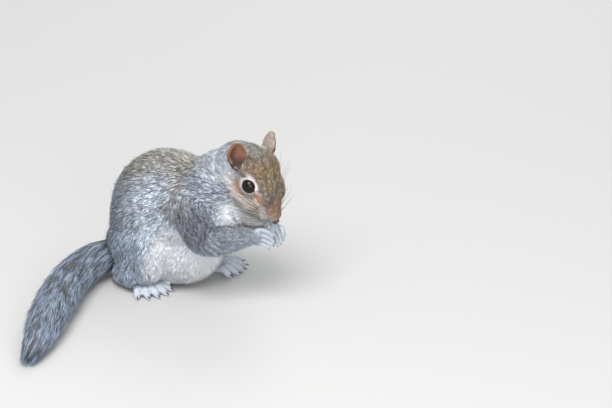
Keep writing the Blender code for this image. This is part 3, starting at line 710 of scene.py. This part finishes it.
def rooted(closeness, clump, seed):
    """Roots spread over the hide, so close together at each point, and how locks stand together there.

    It gives the random source, and each root's triangle, its corners' weights, its lock's leader and shade.
    """
    rng = np.random.default_rng(seed)
    wanted = np.cumsum(triangle_area * closeness[triangles].mean(axis=1))
    count = int(wanted[-1])
    chosen = np.searchsorted(wanted, np.arange(count) + rng.random(count)).clip(max=len(triangles) - 1)
    share, other = np.sqrt(rng.random(count)), rng.random(count)
    weights = np.stack([1 - share, share * (1 - other), share * other], axis=1)
    root = at_roots(points, chosen, weights)
    leaders = rng.permutation(count)[: max(1, count // clump)]
    standing = KDTree(len(leaders))
    for k, leader in enumerate(leaders):
        standing.insert(root[leader], k)
    standing.balance()
    leader = leaders[[standing.find(place)[1] for place in root.tolist()]]
    shade = rng.random(count) - 0.5
    shade = np.clip(0.5 + OWN_SHADE * shade + SHARED_SHADE * shade[leader], 0, 1)
    return rng, chosen, weights, leader, shade


def curved(root, bend, tip, stations):
    """The stations after the root on a curve that leaves it towards the bend and ends at the tip."""
    shares_along = np.arange(1, stations) / (stations - 1)
    return [root * (1 - t) ** 2 + bend * 2 * t * (1 - t) + tip * t**2 for t in shares_along]


def grow(name, pieces, slot, where, stations, clump, seed):
    """One stretch of the coat, in locks of two or three stations, where it is wanted."""
    rng, chosen, weights, leader, shade = rooted(closeness * where, clump, seed)
    count = len(chosen)
    root, up = at_roots(points, chosen, weights), unit(at_roots(normals, chosen, weights))
    deep, long, wide = at_roots(sizes, chosen, weights).T
    long = long * rng.uniform(0.75, 1.25, count)
    way = flat_to(at_roots(lie, chosen, weights), up)
    turn = rng.normal(0, LEAN, count)[:, None]
    way = way * np.cos(turn) + np.cross(up, way) * np.sin(turn)
    below, over, _ = nearest(hide_tree, root + way * long[:, None])
    rise = rng.uniform(0.6, 1.0, count) + TOUSLED * (shade[leader] - 0.5)
    rise *= np.where(rng.random(count) < STRAYS, rng.uniform(1.1, 1.5, count), 1)
    tip = below + over * (deep * rise)[:, None]
    tip += PULL * (tip[leader] - tip)
    bend = root + up * (0.8 * deep)[:, None] + way * (0.22 * long)[:, None]
    places = curved(root, bend, tip, stations)
    widths = [1.0, 0.0] if stations == 2 else [ROOT_WIDTH, 1.0, 0.0]
    root = root - up * ROOT_SUNK
    blades(name, pieces, coat_finish, slot, root, places, widths, over, wide, chosen, weights, shade)


def banded_hair(name, stray, stops):
    """A hair material with bands from root to point, which stray by so much, its bands and its shade."""
    made = new_material(name)
    shade = node(made, "Attribute", attribute_name="shade").outputs["Fac"]
    along = node(made, "Attribute", attribute_name="along").outputs["Fac"]
    shift = node(made, "MapRange", {"Value": shade, "To Min": -stray, "To Max": stray})
    place = node(made, "Math", {0: along, 1: shift}, operation="ADD")
    return made, node(made, "ValToRGB", {"Fac": place}, stops), shade


# Guard hair with a dark root, a buff band, a black band and a white tip, as shares of the colour at its
# root. The cuticle is smooth, so that locks have a low sheen along them.
BANDS = [(0.0, 0.28), (0.28, 0.52), (0.45, 0.82), (0.57, 0.34), (0.72, 0.40), (0.82, 1.02), (1.0, 1.12)]
coat_finish, bands, shade = banded_hair("banded_guard_hair", 0.24, BANDS)
ground = node(coat_finish, "Attribute", attribute_name="coat_colour")
tone = node(coat_finish, "MapRange", {"Value": shade, "To Min": 0.66, "To Max": 2.0})
lift = node(coat_finish, "Math", {0: bands, 1: tone}, operation="MULTIPLY")
banded = node(coat_finish, "Mix", {0: ground.outputs["Alpha"], 2: 1.0, 3: lift})
toned = node(coat_finish, "VectorMath", {0: ground, "Scale": banded}, operation="SCALE")
CUTICLE = {"Sheen Weight": 0.15, "Sheen Roughness": 0.5}
hair = node(coat_finish, "BsdfPrincipled", {"Base Color": toned, "Roughness": 0.62, **CUTICLE})
node(coat_finish, "OutputMaterial", {"Surface": hair})

# Depth, length and width of the locks, and their closeness, everywhere on the hide. The coat is fuller under
# the cheek and at the throat, longer on the rims of the ears, and shorter on the muzzle and round the eyes.
FULL_CHEEK, CHEEK_FULLER = ((3, 0, -17), (26, 17, 9), 0.4), (1.4, 0.9)
FULL_THROAT, THROAT_FULLER = ((94, 0, 76), (15, 15, 13), 0.5), (0.9, 0.5)
EAR_FRINGE = (0.4, 1.0, 0.0)
LID_EDGE, RING_CLOSE, RING_SHORT = (6.2, 6.8), (9, 14), (8, 14)  # from near to far from an eye's middle
MUZZLE = (10, 26)  # from back to front of it, forward from the head's middle
SOLE_DOWN, SOLE_LOW = (0.75, 0.95), (-9, -6)  # how squarely soles face down, and how low they are
table = np.array(list(COAT.values()))
sizes = shares @ table[:, :3]
closeness = shares @ table[:, 3]
closeness *= 1 - np.maximum(0.8 * hollow, 0.97 * nose_share)
sizes *= (1 + 1.3 * 4 * hollow * (1 - hollow))[:, None] ** np.array(EAR_FRINGE)
sizes[:, :2] *= (1 - 0.5 * fold_shade)[:, None]
full_cheek = oval_share(on_skull, *FULL_CHEEK)
sizes[:, :2] *= (1 + full_cheek)[:, None] ** np.array(CHEEK_FULLER)
full_throat = oval_share(points, *FULL_THROAT)
sizes[:, :2] *= (1 + full_throat)[:, None] ** np.array(THROAT_FULLER)
for sign in SIDES.values():
    far = np.linalg.norm(points - eye_middle(sign), axis=1)
    closeness *= smooth_step(far, *LID_EDGE) * (2 - smooth_step(far, *RING_CLOSE))
    sizes *= (0.5 + 0.5 * smooth_step(far, *RING_SHORT))[:, None]
muzzle = smooth_step(np.einsum("nk,k->n", points - HEAD_AT, FORWARD), *MUZZLE) * share_of("head")
sizes[:, :2] *= (1 - 0.55 * muzzle)[:, None]
sizes[:, 2] *= 1 - 0.25 * muzzle
closeness *= 1 + 0.6 * muzzle
underneath = smooth_step(-normals[:, 2], *SOLE_DOWN) * smooth_step(-points[:, 2], *SOLE_LOW)
closeness *= 1 - 0.75 * underneath
is_fine = share_of("head", "ear", "forearm", "forepaw", "hind_foot") > 0.5
is_head, on_tail = share_of("head", "ear") > 0.5, share_of("tail") > 0.5
grow("body_coat", 5, "grey_coat", ~(is_fine | on_tail), 3, 3, 11)
grow("head_coat", 2, "head_coat", is_fine & is_head, 2, 13, 12)
grow("paw_coat", 1, "paw_coat", is_fine & ~is_head, 2, 4, 13)

# ---- Tail --------------------------------------------------------------------------------------------------
# The brush: long stiff hairs, brown-grey at their roots, with a black band and a white tip that frosts the
# edge. They leave the thin core on all sides, sweep back along it and reach furthest to its left and right.

BRUSH_PATH = TAIL_PATH[1:-1] + [(4, -184, 7.5), (8, -202, 5.0)]
# How far the brush reaches across and over each of those points.
BRUSH_HALVES = [(17, 15), (17, 14.5), (18, 14), (19, 14), (20, 14)]
BRUSH_HALVES += [(20, 13.5), (18.5, 12.5), (15, 10), (11, 7.5), (5, 3.5)]
BRUSH_CLOSENESS = 3.6  # locks to each square millimetre of the core
BRUSH_REACH = (22.0, 38.0)  # how far along the tail a lock goes
BRUSH_RAGGED = 30  # how far before the end the last locks end
BRUSH_STRAY, BRUSH_PULL = 0.16, 0.42
BRUSH_WIDTHS = [ROOT_WIDTH, 1.0, 0.85, 0.0]
brush_line = through(BRUSH_PATH, 8)
brush_halves = through(BRUSH_HALVES, 8)
brush_length = np.append(0, np.cumsum(np.linalg.norm(np.diff(brush_line, axis=0), axis=1)))
brush_way = unit(np.gradient(brush_line, axis=0))
brush_side = unit(np.cross(brush_way, (0, 0, 1.0)))
brush_over = np.cross(brush_side, brush_way)


def on_brush(distance, table):
    """Rows of a table of the brush's stations at distances along it."""
    return np.stack([np.interp(distance, brush_length, column) for column in table.T], axis=1)


rng, chosen, weights, leader, shade = rooted(on_tail * BRUSH_CLOSENESS, 7, 14)
count = len(chosen)
root, up = at_roots(points, chosen, weights), unit(at_roots(normals, chosen, weights))
_, station = path_place(root, brush_line)
start = np.interp(station, np.arange(len(brush_length)), brush_length)
offset = root - on_brush(start, brush_line)
turn = np.arctan2(
    np.einsum("nk,nk->n", offset, on_brush(start, brush_over)),
    np.einsum("nk,nk->n", offset, on_brush(start, brush_side)),
)
reach = start + rng.uniform(*BRUSH_REACH, count)
last = brush_length[-1]
reach = np.where(reach > last, last - rng.random(count) * BRUSH_RAGGED, reach)
halves = on_brush(reach, brush_halves) * (rng.random(count) ** 0.5 * 0.75 + 0.25)[:, None]
turn = turn + rng.normal(0, BRUSH_STRAY, count)
tip = on_brush(reach, brush_line)
tip += on_brush(reach, brush_side) * (np.cos(turn) * halves[:, 0])[:, None]
tip += on_brush(reach, brush_over) * (np.sin(turn) * halves[:, 1])[:, None]
tip += BRUSH_PULL * (tip[leader] - tip)
span = np.linalg.norm(tip - root, axis=1, keepdims=True)
bend = root + (0.5 * up + 0.35 * on_brush(start, brush_way)) * span * 0.55
places = curved(root, bend, tip, len(BRUSH_WIDTHS))

# Long banded hair: a brown-grey root, a black band near the end and a frosted tip, glossier than the coat.
BRUSH_BANDS = [(0.0, "#4A423E"), (0.3, "#6C6463"), (0.5, "#5A585D")]
BRUSH_BANDS += [(0.66, "#4A4D55"), (0.8, "#8694A7"), (1.0, "#A6B5C8")]
brush_finish, bands, _ = banded_hair("brush_hair", 0.4, BRUSH_BANDS)
hair = node(brush_finish, "BsdfPrincipled", {"Base Color": bands, "Roughness": 0.55, **CUTICLE})
node(brush_finish, "OutputMaterial", {"Surface": hair})
wide = COAT["tail"][2] * rng.uniform(0.7, 1.1, count)
root = root - up * ROOT_SUNK
blades(
    "tail_coat", 2, brush_finish, "tail_coat", root, places, BRUSH_WIDTHS, up, wide, chosen, weights, shade
)

# ---- Eyes --------------------------------------------------------------------------------------------------
# Large, dark and wet: under the clear film of tears lies a brown iris so dark that the pupil hardly shows.
# Each ball sits in a soft hairless lid, a thin rim that hugs it and comes to a point before and behind.

LID_OPENING = (math.radians(59), math.radians(53))  # from the middle of the ball, lengthways and upright
LID_CORNER = math.radians(7)  # how much further the opening reaches at its two corners
CORNER_WIDE = math.radians(13)
CORNER_TURNS = (math.radians(-18), math.radians(168))
# The rim's section: how far past the opening, and how far from the ball's middle.
LID_SECTION = [(-1, 5.75), (-1.5, 6.15), (1, 6.4), (4, 6.55), (10, 6.6)]
LID_SECTION += [(20, 6.4), (32, 6.1), (20, 5.2), (5, 5.4)]
LID_OUTER = [0, 0, 0.1, 0.5, 1, 1, 1, 1, 0]
LID_STEPS = 96


def mottled(name, grain, dark, light, gloss):
    """A material that drifts between two colours, over a grain of so many millimetres, with its gloss."""
    made = new_material(name)
    place = node(made, "TexCoord").outputs["Object"]
    drift = node(made, "TexNoise", {"Vector": place, "Scale": 1 / (grain * MM), "Detail": 2.0})
    tone = node(made, "ValToRGB", {"Fac": drift}, [(0, dark), (1, light)])
    shader = node(made, "BsdfPrincipled", {"Base Color": tone, **gloss})
    node(made, "OutputMaterial", {"Surface": shader})
    return made


def ball(finer):
    """Points and triangles of a ball of radius 1."""
    form = bmesh.new()
    bmesh.ops.create_icosphere(form, subdivisions=finer, radius=1.0)
    form.verts.index_update()
    points = np.array([v.co[:] for v in form.verts])
    faces = np.array([[v.index for v in f.verts] for f in form.faces])
    form.free()
    return points, faces


def facing_out(mesh):
    """The same closed mesh, with its faces turned outwards."""
    form = bmesh.new()
    form.from_mesh(mesh)
    bmesh.ops.recalc_face_normals(form, faces=form.faces)
    form.to_mesh(mesh)
    form.free()
    return mesh


# Wet cornea over fine iris fibres, as glossy as water.
eye_finish = mottled("wet_eye", 10 / 9, "#070606", "#1B110C", {"Roughness": 0.04, "IOR": 1.376})

# Thin skin, a little moist and wrinkled across: dark at its edge, and pale where the ring of fur begins.
lid_finish = new_material("bare_lid")
WRINKLE_MM = 0.4
place = node(lid_finish, "TexCoord").outputs["Object"]
wrinkle = node(lid_finish, "TexNoise", {"Vector": place, "Scale": 1 / (WRINKLE_MM * MM), "Detail": 3.0})
outer = node(lid_finish, "Attribute", attribute_name="outer_lid").outputs["Fac"]
tone = node(lid_finish, "ValToRGB", {"Fac": outer}, [(0.35, "#2C2220"), (0.6, "#B9ABA8")])
relief = node(lid_finish, "Bump", {"Height": wrinkle, "Distance": 0.08 * MM})
lid_skin = node(lid_finish, "BsdfPrincipled", {"Base Color": tone, "Roughness": 0.4, "Normal": relief})
node(lid_finish, "OutputMaterial", {"Surface": lid_skin})

ball_points, ball_faces = ball(5)
first = np.arange(LID_STEPS)[:, None] * len(LID_SECTION) + np.arange(len(LID_SECTION))
onward, across = np.roll(first, -1, axis=0), np.roll(first, -1, axis=1)
corner = np.roll(onward, -1, axis=1)
lid_faces = np.concatenate([np.stack([first, across, corner], -1), np.stack([first, corner, onward], -1)])
for name, sign in SIDES.items():
    middle, axis = eye_middle(sign), gaze(sign)
    mesh = mesh_of("eye_" + name, middle + EYE_RADIUS * ball_points, ball_faces)
    finished_piece(f"eyeball_{name}", mesh, eye_finish, "eye", "eye_" + name)
    ahead = unit(FORWARD - (FORWARD @ axis) * axis)
    above = np.cross(axis, ahead) * sign
    rows = []
    for turn in np.linspace(0, 2 * math.pi, LID_STEPS, endpoint=False):
        opening = math.hypot(LID_OPENING[0] * math.cos(turn), LID_OPENING[1] * math.sin(turn))
        for pointed in CORNER_TURNS:
            gap = math.remainder(turn - pointed, 2 * math.pi)
            opening += LID_CORNER * math.exp(-((gap / CORNER_WIDE) ** 2))
        around = math.cos(turn) * ahead + math.sin(turn) * above
        for past, far in LID_SECTION:
            tilt = opening + math.radians(past)
            rows.append(middle + far * (math.cos(tilt) * axis + math.sin(tilt) * around))
    lid = facing_out(mesh_of("lid_" + name, np.array(rows), lid_faces.reshape(-1, 3)))
    add_attribute(lid, "outer_lid", np.tile(np.array(LID_OUTER, float), LID_STEPS))
    finished_piece(f"eyelid_{name}", lid, lid_finish, "ear_skin")

# ---- Nose --------------------------------------------------------------------------------------------------
# A small bare pad of pebbled brown-pink skin, wider than it is tall, with a comma-shaped nostril on each
# side. It is pressed out of a ball and sunk into the end of the muzzle.

NOSE_HALVES, NOSE_SUNK = (2.9, 3.5, 2.7), 0.9
NOSTRIL = [(2.4, 1.2, -0.2), (1.9, 2.3, 0.2), (0.9, 3.3, 0.9)]
NOSTRIL_DEEP, NOSTRIL_HALF = 1.1, 0.5
SPLIT_DEEP, SPLIT_HALF = 0.5, 0.5  # the groove down its middle
PEBBLE_MM = 0.35
ball_points, ball_faces = ball(6)
local = ball_points * NOSE_HALVES
local[:, 2] -= SPLIT_DEEP * np.exp(-((local[:, 1] / SPLIT_HALF) ** 2)) * (local[:, 0] > 0)
pressed = np.zeros(len(local))
for sign in SIDES.values():
    far, _ = path_place(local, np.array(NOSTRIL) * (1, sign, 1))
    pressed = np.maximum(pressed, np.exp(-((far / NOSTRIL_HALF) ** 2)))
local = local - unit(local) * (NOSTRIL_DEEP * pressed)[:, None]
nose = mesh_of("nose", NOSE_AT + local @ HEAD_WAYS - NOSE_SUNK * FORWARD, ball_faces)
add_attribute(nose, "nostril", pressed)

# Leathery skin in fine pebbles, a little moist, with painted shade nearly black inside the nostrils.
nose_finish = new_material("nose_leather")
inside = node(nose_finish, "Attribute", attribute_name="nostril").outputs["Fac"]
place = node(nose_finish, "TexCoord").outputs["Object"]
pebbles = node(nose_finish, "TexVoronoi", {"Vector": place, "Scale": 1 / (PEBBLE_MM * MM)})
# Painted shade, nearly black, in the hollows of the nostrils.
tone = node(nose_finish, "ValToRGB", {"Fac": inside}, [(0, "#5E4138"), (0.7, "#1D1210")])
relief = node(nose_finish, "Bump", {"Height": pebbles, "Distance": 0.1 * MM})
pad = node(nose_finish, "BsdfPrincipled", {"Base Color": tone, "Roughness": 0.42, "Normal": relief})
node(nose_finish, "OutputMaterial", {"Surface": pad})
finished_piece("nose_pad", nose, nose_finish, "ear_skin")

# ---- Whiskers and claws ------------------------------------------------------------------------------------
# Whiskers are long black bristles in four rows on each side of the muzzle, with a few over the eye. Claws
# are short, dark, curved and sharp horn. Both are tapered strands swept along a path by one node tree.

strands_tree = bpy.data.node_groups.new("tapered_strands", "GeometryNodeTree")
strand_inputs = {}
for name, way, kind in (
    ("Geometry", "INPUT", "Geometry"),
    ("Sides", "INPUT", "Int"),
    ("Finish", "INPUT", "Material"),
    ("Geometry", "OUTPUT", "Geometry"),
):
    socket = strands_tree.interface.new_socket(name, in_out=way, socket_type="NodeSocket" + kind)
    strand_inputs[name] = socket.identifier
start, end = strands_tree.nodes.new("NodeGroupInput"), strands_tree.nodes.new("NodeGroupOutput")
kinds = "MeshToCurve InputNamedAttribute CurvePrimitiveCircle CurveToMesh"
kinds += " SetShadeSmooth RealizeInstances SetMaterial"
made = [strands_tree.nodes.new("GeometryNode" + kind) for kind in kinds.split()]
paths, thickness, section, sweep, smooth, realize, dress = made
thickness.inputs["Name"].default_value = "radius_of_strand"
section.inputs["Radius"].default_value = 1.0
sweep.inputs["Fill Caps"].default_value = True
for giver, given, taker, taken in (
    (start, "Geometry", paths, "Mesh"),
    (paths, "Curve", sweep, "Curve"),
    (start, "Sides", section, "Resolution"),
    (section, "Curve", sweep, "Profile Curve"),
    (thickness, "Attribute", sweep, "Scale"),
    (sweep, "Mesh", smooth, "Geometry"),
    (smooth, "Geometry", realize, "Geometry"),
    (realize, "Geometry", dress, "Geometry"),
    (start, "Finish", dress, "Material"),
    (dress, "Geometry", end, "Geometry"),
):
    strands_tree.links.new(giver.outputs[given], taker.inputs[taken])


def strands(name, paths, radii, sides, finish, slot):
    """Tapered strands along paths, with the radius at each of their points."""
    mesh = bpy.data.meshes.new(name)
    joints, first = [], 0
    for path in paths:
        joints += [(first + k, first + k + 1) for k in range(len(path) - 1)]
        first += len(path)
    mesh.from_pydata(((np.concatenate(paths) + ORIGIN) * MM).tolist(), joints, [])
    add_attribute(mesh, "radius_of_strand", np.concatenate(radii) * MM)
    worker = placed("worker", mesh)
    sweep = worker.modifiers.new("sweep", "NODES")
    sweep.node_group = strands_tree
    sweep[strand_inputs["Sides"]] = sides
    sweep[strand_inputs["Finish"]] = finish
    made = settled(worker)
    made.name = name
    finished_piece(name, facing_out(made), finish, slot)


WHISKER_ROWS, WHISKERS_IN_ROW, BROW_WHISKERS = 4, 4, 3
WHISKER_SUNK, BROW_SUNK = 0.8, 0.5  # how far their roots go into the hide
WHISKER_STEPS = 10
rng = np.random.default_rng(21)
t = np.linspace(0, 1, WHISKER_STEPS)[:, None]
paths, radii = [], []
for sign in SIDES.values():
    for row in range(WHISKER_ROWS):
        for k in range(WHISKERS_IN_ROW):
            foot = on_head(26.5 - 2.6 * k + 0.5 * row, sign * (6.2 + 1.1 * k), -5.2 - 1.9 * row)
            place, *_ = hide_tree.find_nearest(Vector(foot))
            way = 0.15 * FORWARD - (0.30 + 0.22 * k) * FORWARD + sign * LEFTWARD * (1.0 - 0.08 * k)
            way = unit(way + UPWARD * (0.28 - 0.17 * row) + rng.normal(0, 0.05, 3))
            length = (22 + 5.5 * k) * rng.uniform(0.85, 1.1)
            sag = -0.16 * length * t**2 * UPWARD - 0.22 * length * t**2 * FORWARD
            paths.append(np.array(place) - way * WHISKER_SUNK + way * length * t + sag)
            radii.append(0.14 * (1 - t[:, 0]) ** 0.8 + 0.025)
    for k in range(BROW_WHISKERS):
        place, out, *_ = hide_tree.find_nearest(Vector(on_head(3 + 2.2 * k, sign * 12.5, 9.0 - 0.6 * k)))
        way = unit(np.array(out) + 0.9 * UPWARD - 0.6 * FORWARD + rng.normal(0, 0.08, 3))
        paths.append(np.array(place) - way * BROW_SUNK + way * 15 * t - 3.5 * t**2 * FORWARD)
        radii.append(0.10 * (1 - t[:, 0]) ** 0.8 + 0.02)

# Smooth black bristle, and brown horn in layers, both with the soft gloss of a nail.
bristle = mottled("whisker_keratin", 50 / 3, "#1A1614", "#4A423E", {"Roughness": 0.35})
horn = mottled("claw_horn", 10 / 7, "#2A2422", "#6B5E57", {"Roughness": 0.3})
strands("whiskers", paths, radii, 5, bristle, "claw")

CLAW_TAPER = np.array([1.0, 1.0, 0.95, 0.87, 0.77, 0.64, 0.49, 0.31, 0.1])
HAND_CLAW, FOOT_CLAW = (2.6, 0.42, 1.2), (4.2, 0.6, 1.0)  # length, half width at the root and bend
# The feet as the solids have them: where the ball rests, the way it points, each toe's bearing and reach.
FOOT_BALL = {"right": (13.0, -31.5), "left": (44.0, 34.0)}
FOOT_BEARING = {"right": math.radians(-27), "left": math.radians(15)}
TOE_SPACING, TOE_HIGH = 4.6, 2.9
TOE_BEARINGS, TOE_REACH = [-38, -18, -3, 11, 27], [15, 18.5, 20, 19.5, 15.5]
TOES_SPREAD = 0.8  # the share of its bearing that each claw takes
paths, radii = [], []


def add_claw(at, way, down, size):
    """One more claw, which leaves a fingertip along its way and hooks down."""
    length, half, bend = size
    turn = bend * np.linspace(0, 1, len(CLAW_TAPER))[:, None]
    paths.append(at + length * (np.sin(turn) / bend * unit(way) + (1 - np.cos(turn)) / bend * unit(down)))
    radii.append(half * CLAW_TAPER)


for name in SIDES:
    knuckles, row, way, back = hand_axes(name)
    for k, length in enumerate(FINGER_LENGTH):
        end = knuckles + row * (k - 1.5) * FINGER_SPACING + back * 1.2 + way * (length - 0.6)
        add_claw(end + back * 0.3, way - 0.1 * back, -back, HAND_CLAW)
    bearing = FOOT_BEARING[name]
    across = np.array((-math.sin(bearing), math.cos(bearing), 0))
    for k, (angle, length) in enumerate(zip(TOE_BEARINGS, TOE_REACH)):
        toe = bearing + math.radians(angle * TOES_SPREAD)
        way = np.array((math.cos(toe), math.sin(toe), 0))
        end = (*FOOT_BALL[name], TOE_HIGH) + across * (k - 2) * TOE_SPACING + way * (length - 1)
        add_claw(end, way + (0, 0, 0.25), np.array((0, 0, -1.0)), FOOT_CLAW)
strands("claws", paths, radii, 10, horn, "claw")

# ---- Floor, light and camera -------------------------------------------------------------------------------
# A plain pale studio floor, a large soft light above, a weaker one at its side, one behind, and a long lens.

AZIMUTH, ELEVATION = math.radians(30), math.radians(24)
VIEW_WIDTH = 501.84  # of what the camera sees, at the squirrel
VIEW_MIDDLE = (124.39, 56.33)  # its middle, right of and above the point between the feet
CAMERA_FAR = 3000.0
SENSOR = 36.0
right = np.array((math.cos(AZIMUTH), math.sin(AZIMUTH), 0))
level = math.cos(ELEVATION)
back = np.array((math.sin(AZIMUTH) * level, -math.cos(AZIMUTH) * level, math.sin(ELEVATION)))
aim = right * VIEW_MIDDLE[0] + np.cross(back, right) * VIEW_MIDDLE[1] + ORIGIN
lens = bpy.data.cameras.new("camera")
lens.sensor_width = SENSOR
lens.lens = SENSOR * CAMERA_FAR / VIEW_WIDTH
lens.clip_end = 20.0
camera = placed("camera", lens)
camera.location = (aim + back * CAMERA_FAR) * MM
camera.rotation_euler = Vector(-back).to_track_quat("-Z", "Y").to_euler()
bpy.context.scene.camera = camera

# Each light: its place from the squirrel in metres, its width in metres and its power in watts.
LIGHTS = {
    "key": ((0.3, -1.0, 1.7), 1.2, 35),
    "fill": ((1.2, -1.2, 0.4), 1.2, 17),
    "back": ((-0.4, 1.5, 1.1), 1.0, 10),
}
for name, (place, width, power) in LIGHTS.items():
    lamp = bpy.data.lights.new(name, "AREA")
    lamp.size, lamp.energy = width, power
    light = placed(name, lamp)
    light.location = place
    light.rotation_euler = Vector(place).to_track_quat("Z", "Y").to_euler()
world = bpy.data.worlds.new("studio")
world.use_nodes = True
world.node_tree.nodes["Background"].inputs["Color"].default_value = (*linear("#E6EAF0"), 1)
world.node_tree.nodes["Background"].inputs["Strength"].default_value = 0.68
bpy.context.scene.world = world
bpy.context.scene.view_settings.view_transform = "Standard"

# Matt white-grey studio paint.
FLOOR_HALF = 6.0  # metres
FLOOR_CORNERS = [(-1, -1), (1, -1), (1, 1), (-1, 1)]
floor_mesh = bpy.data.meshes.new("floor")
floor_mesh.from_pydata([(x * FLOOR_HALF, y * FLOOR_HALF, 0) for x, y in FLOOR_CORNERS], [], [(0, 1, 2, 3)])
floor = placed("floor", floor_mesh)
floor_finish = new_material("pale_painted_floor")
matt = node(floor_finish, "BsdfPrincipled", {"Base Color": (*linear("#C9C8C5"), 1), "Roughness": 0.85})
node(floor_finish, "OutputMaterial", {"Surface": matt})
floor_mesh.materials.append(floor_finish)
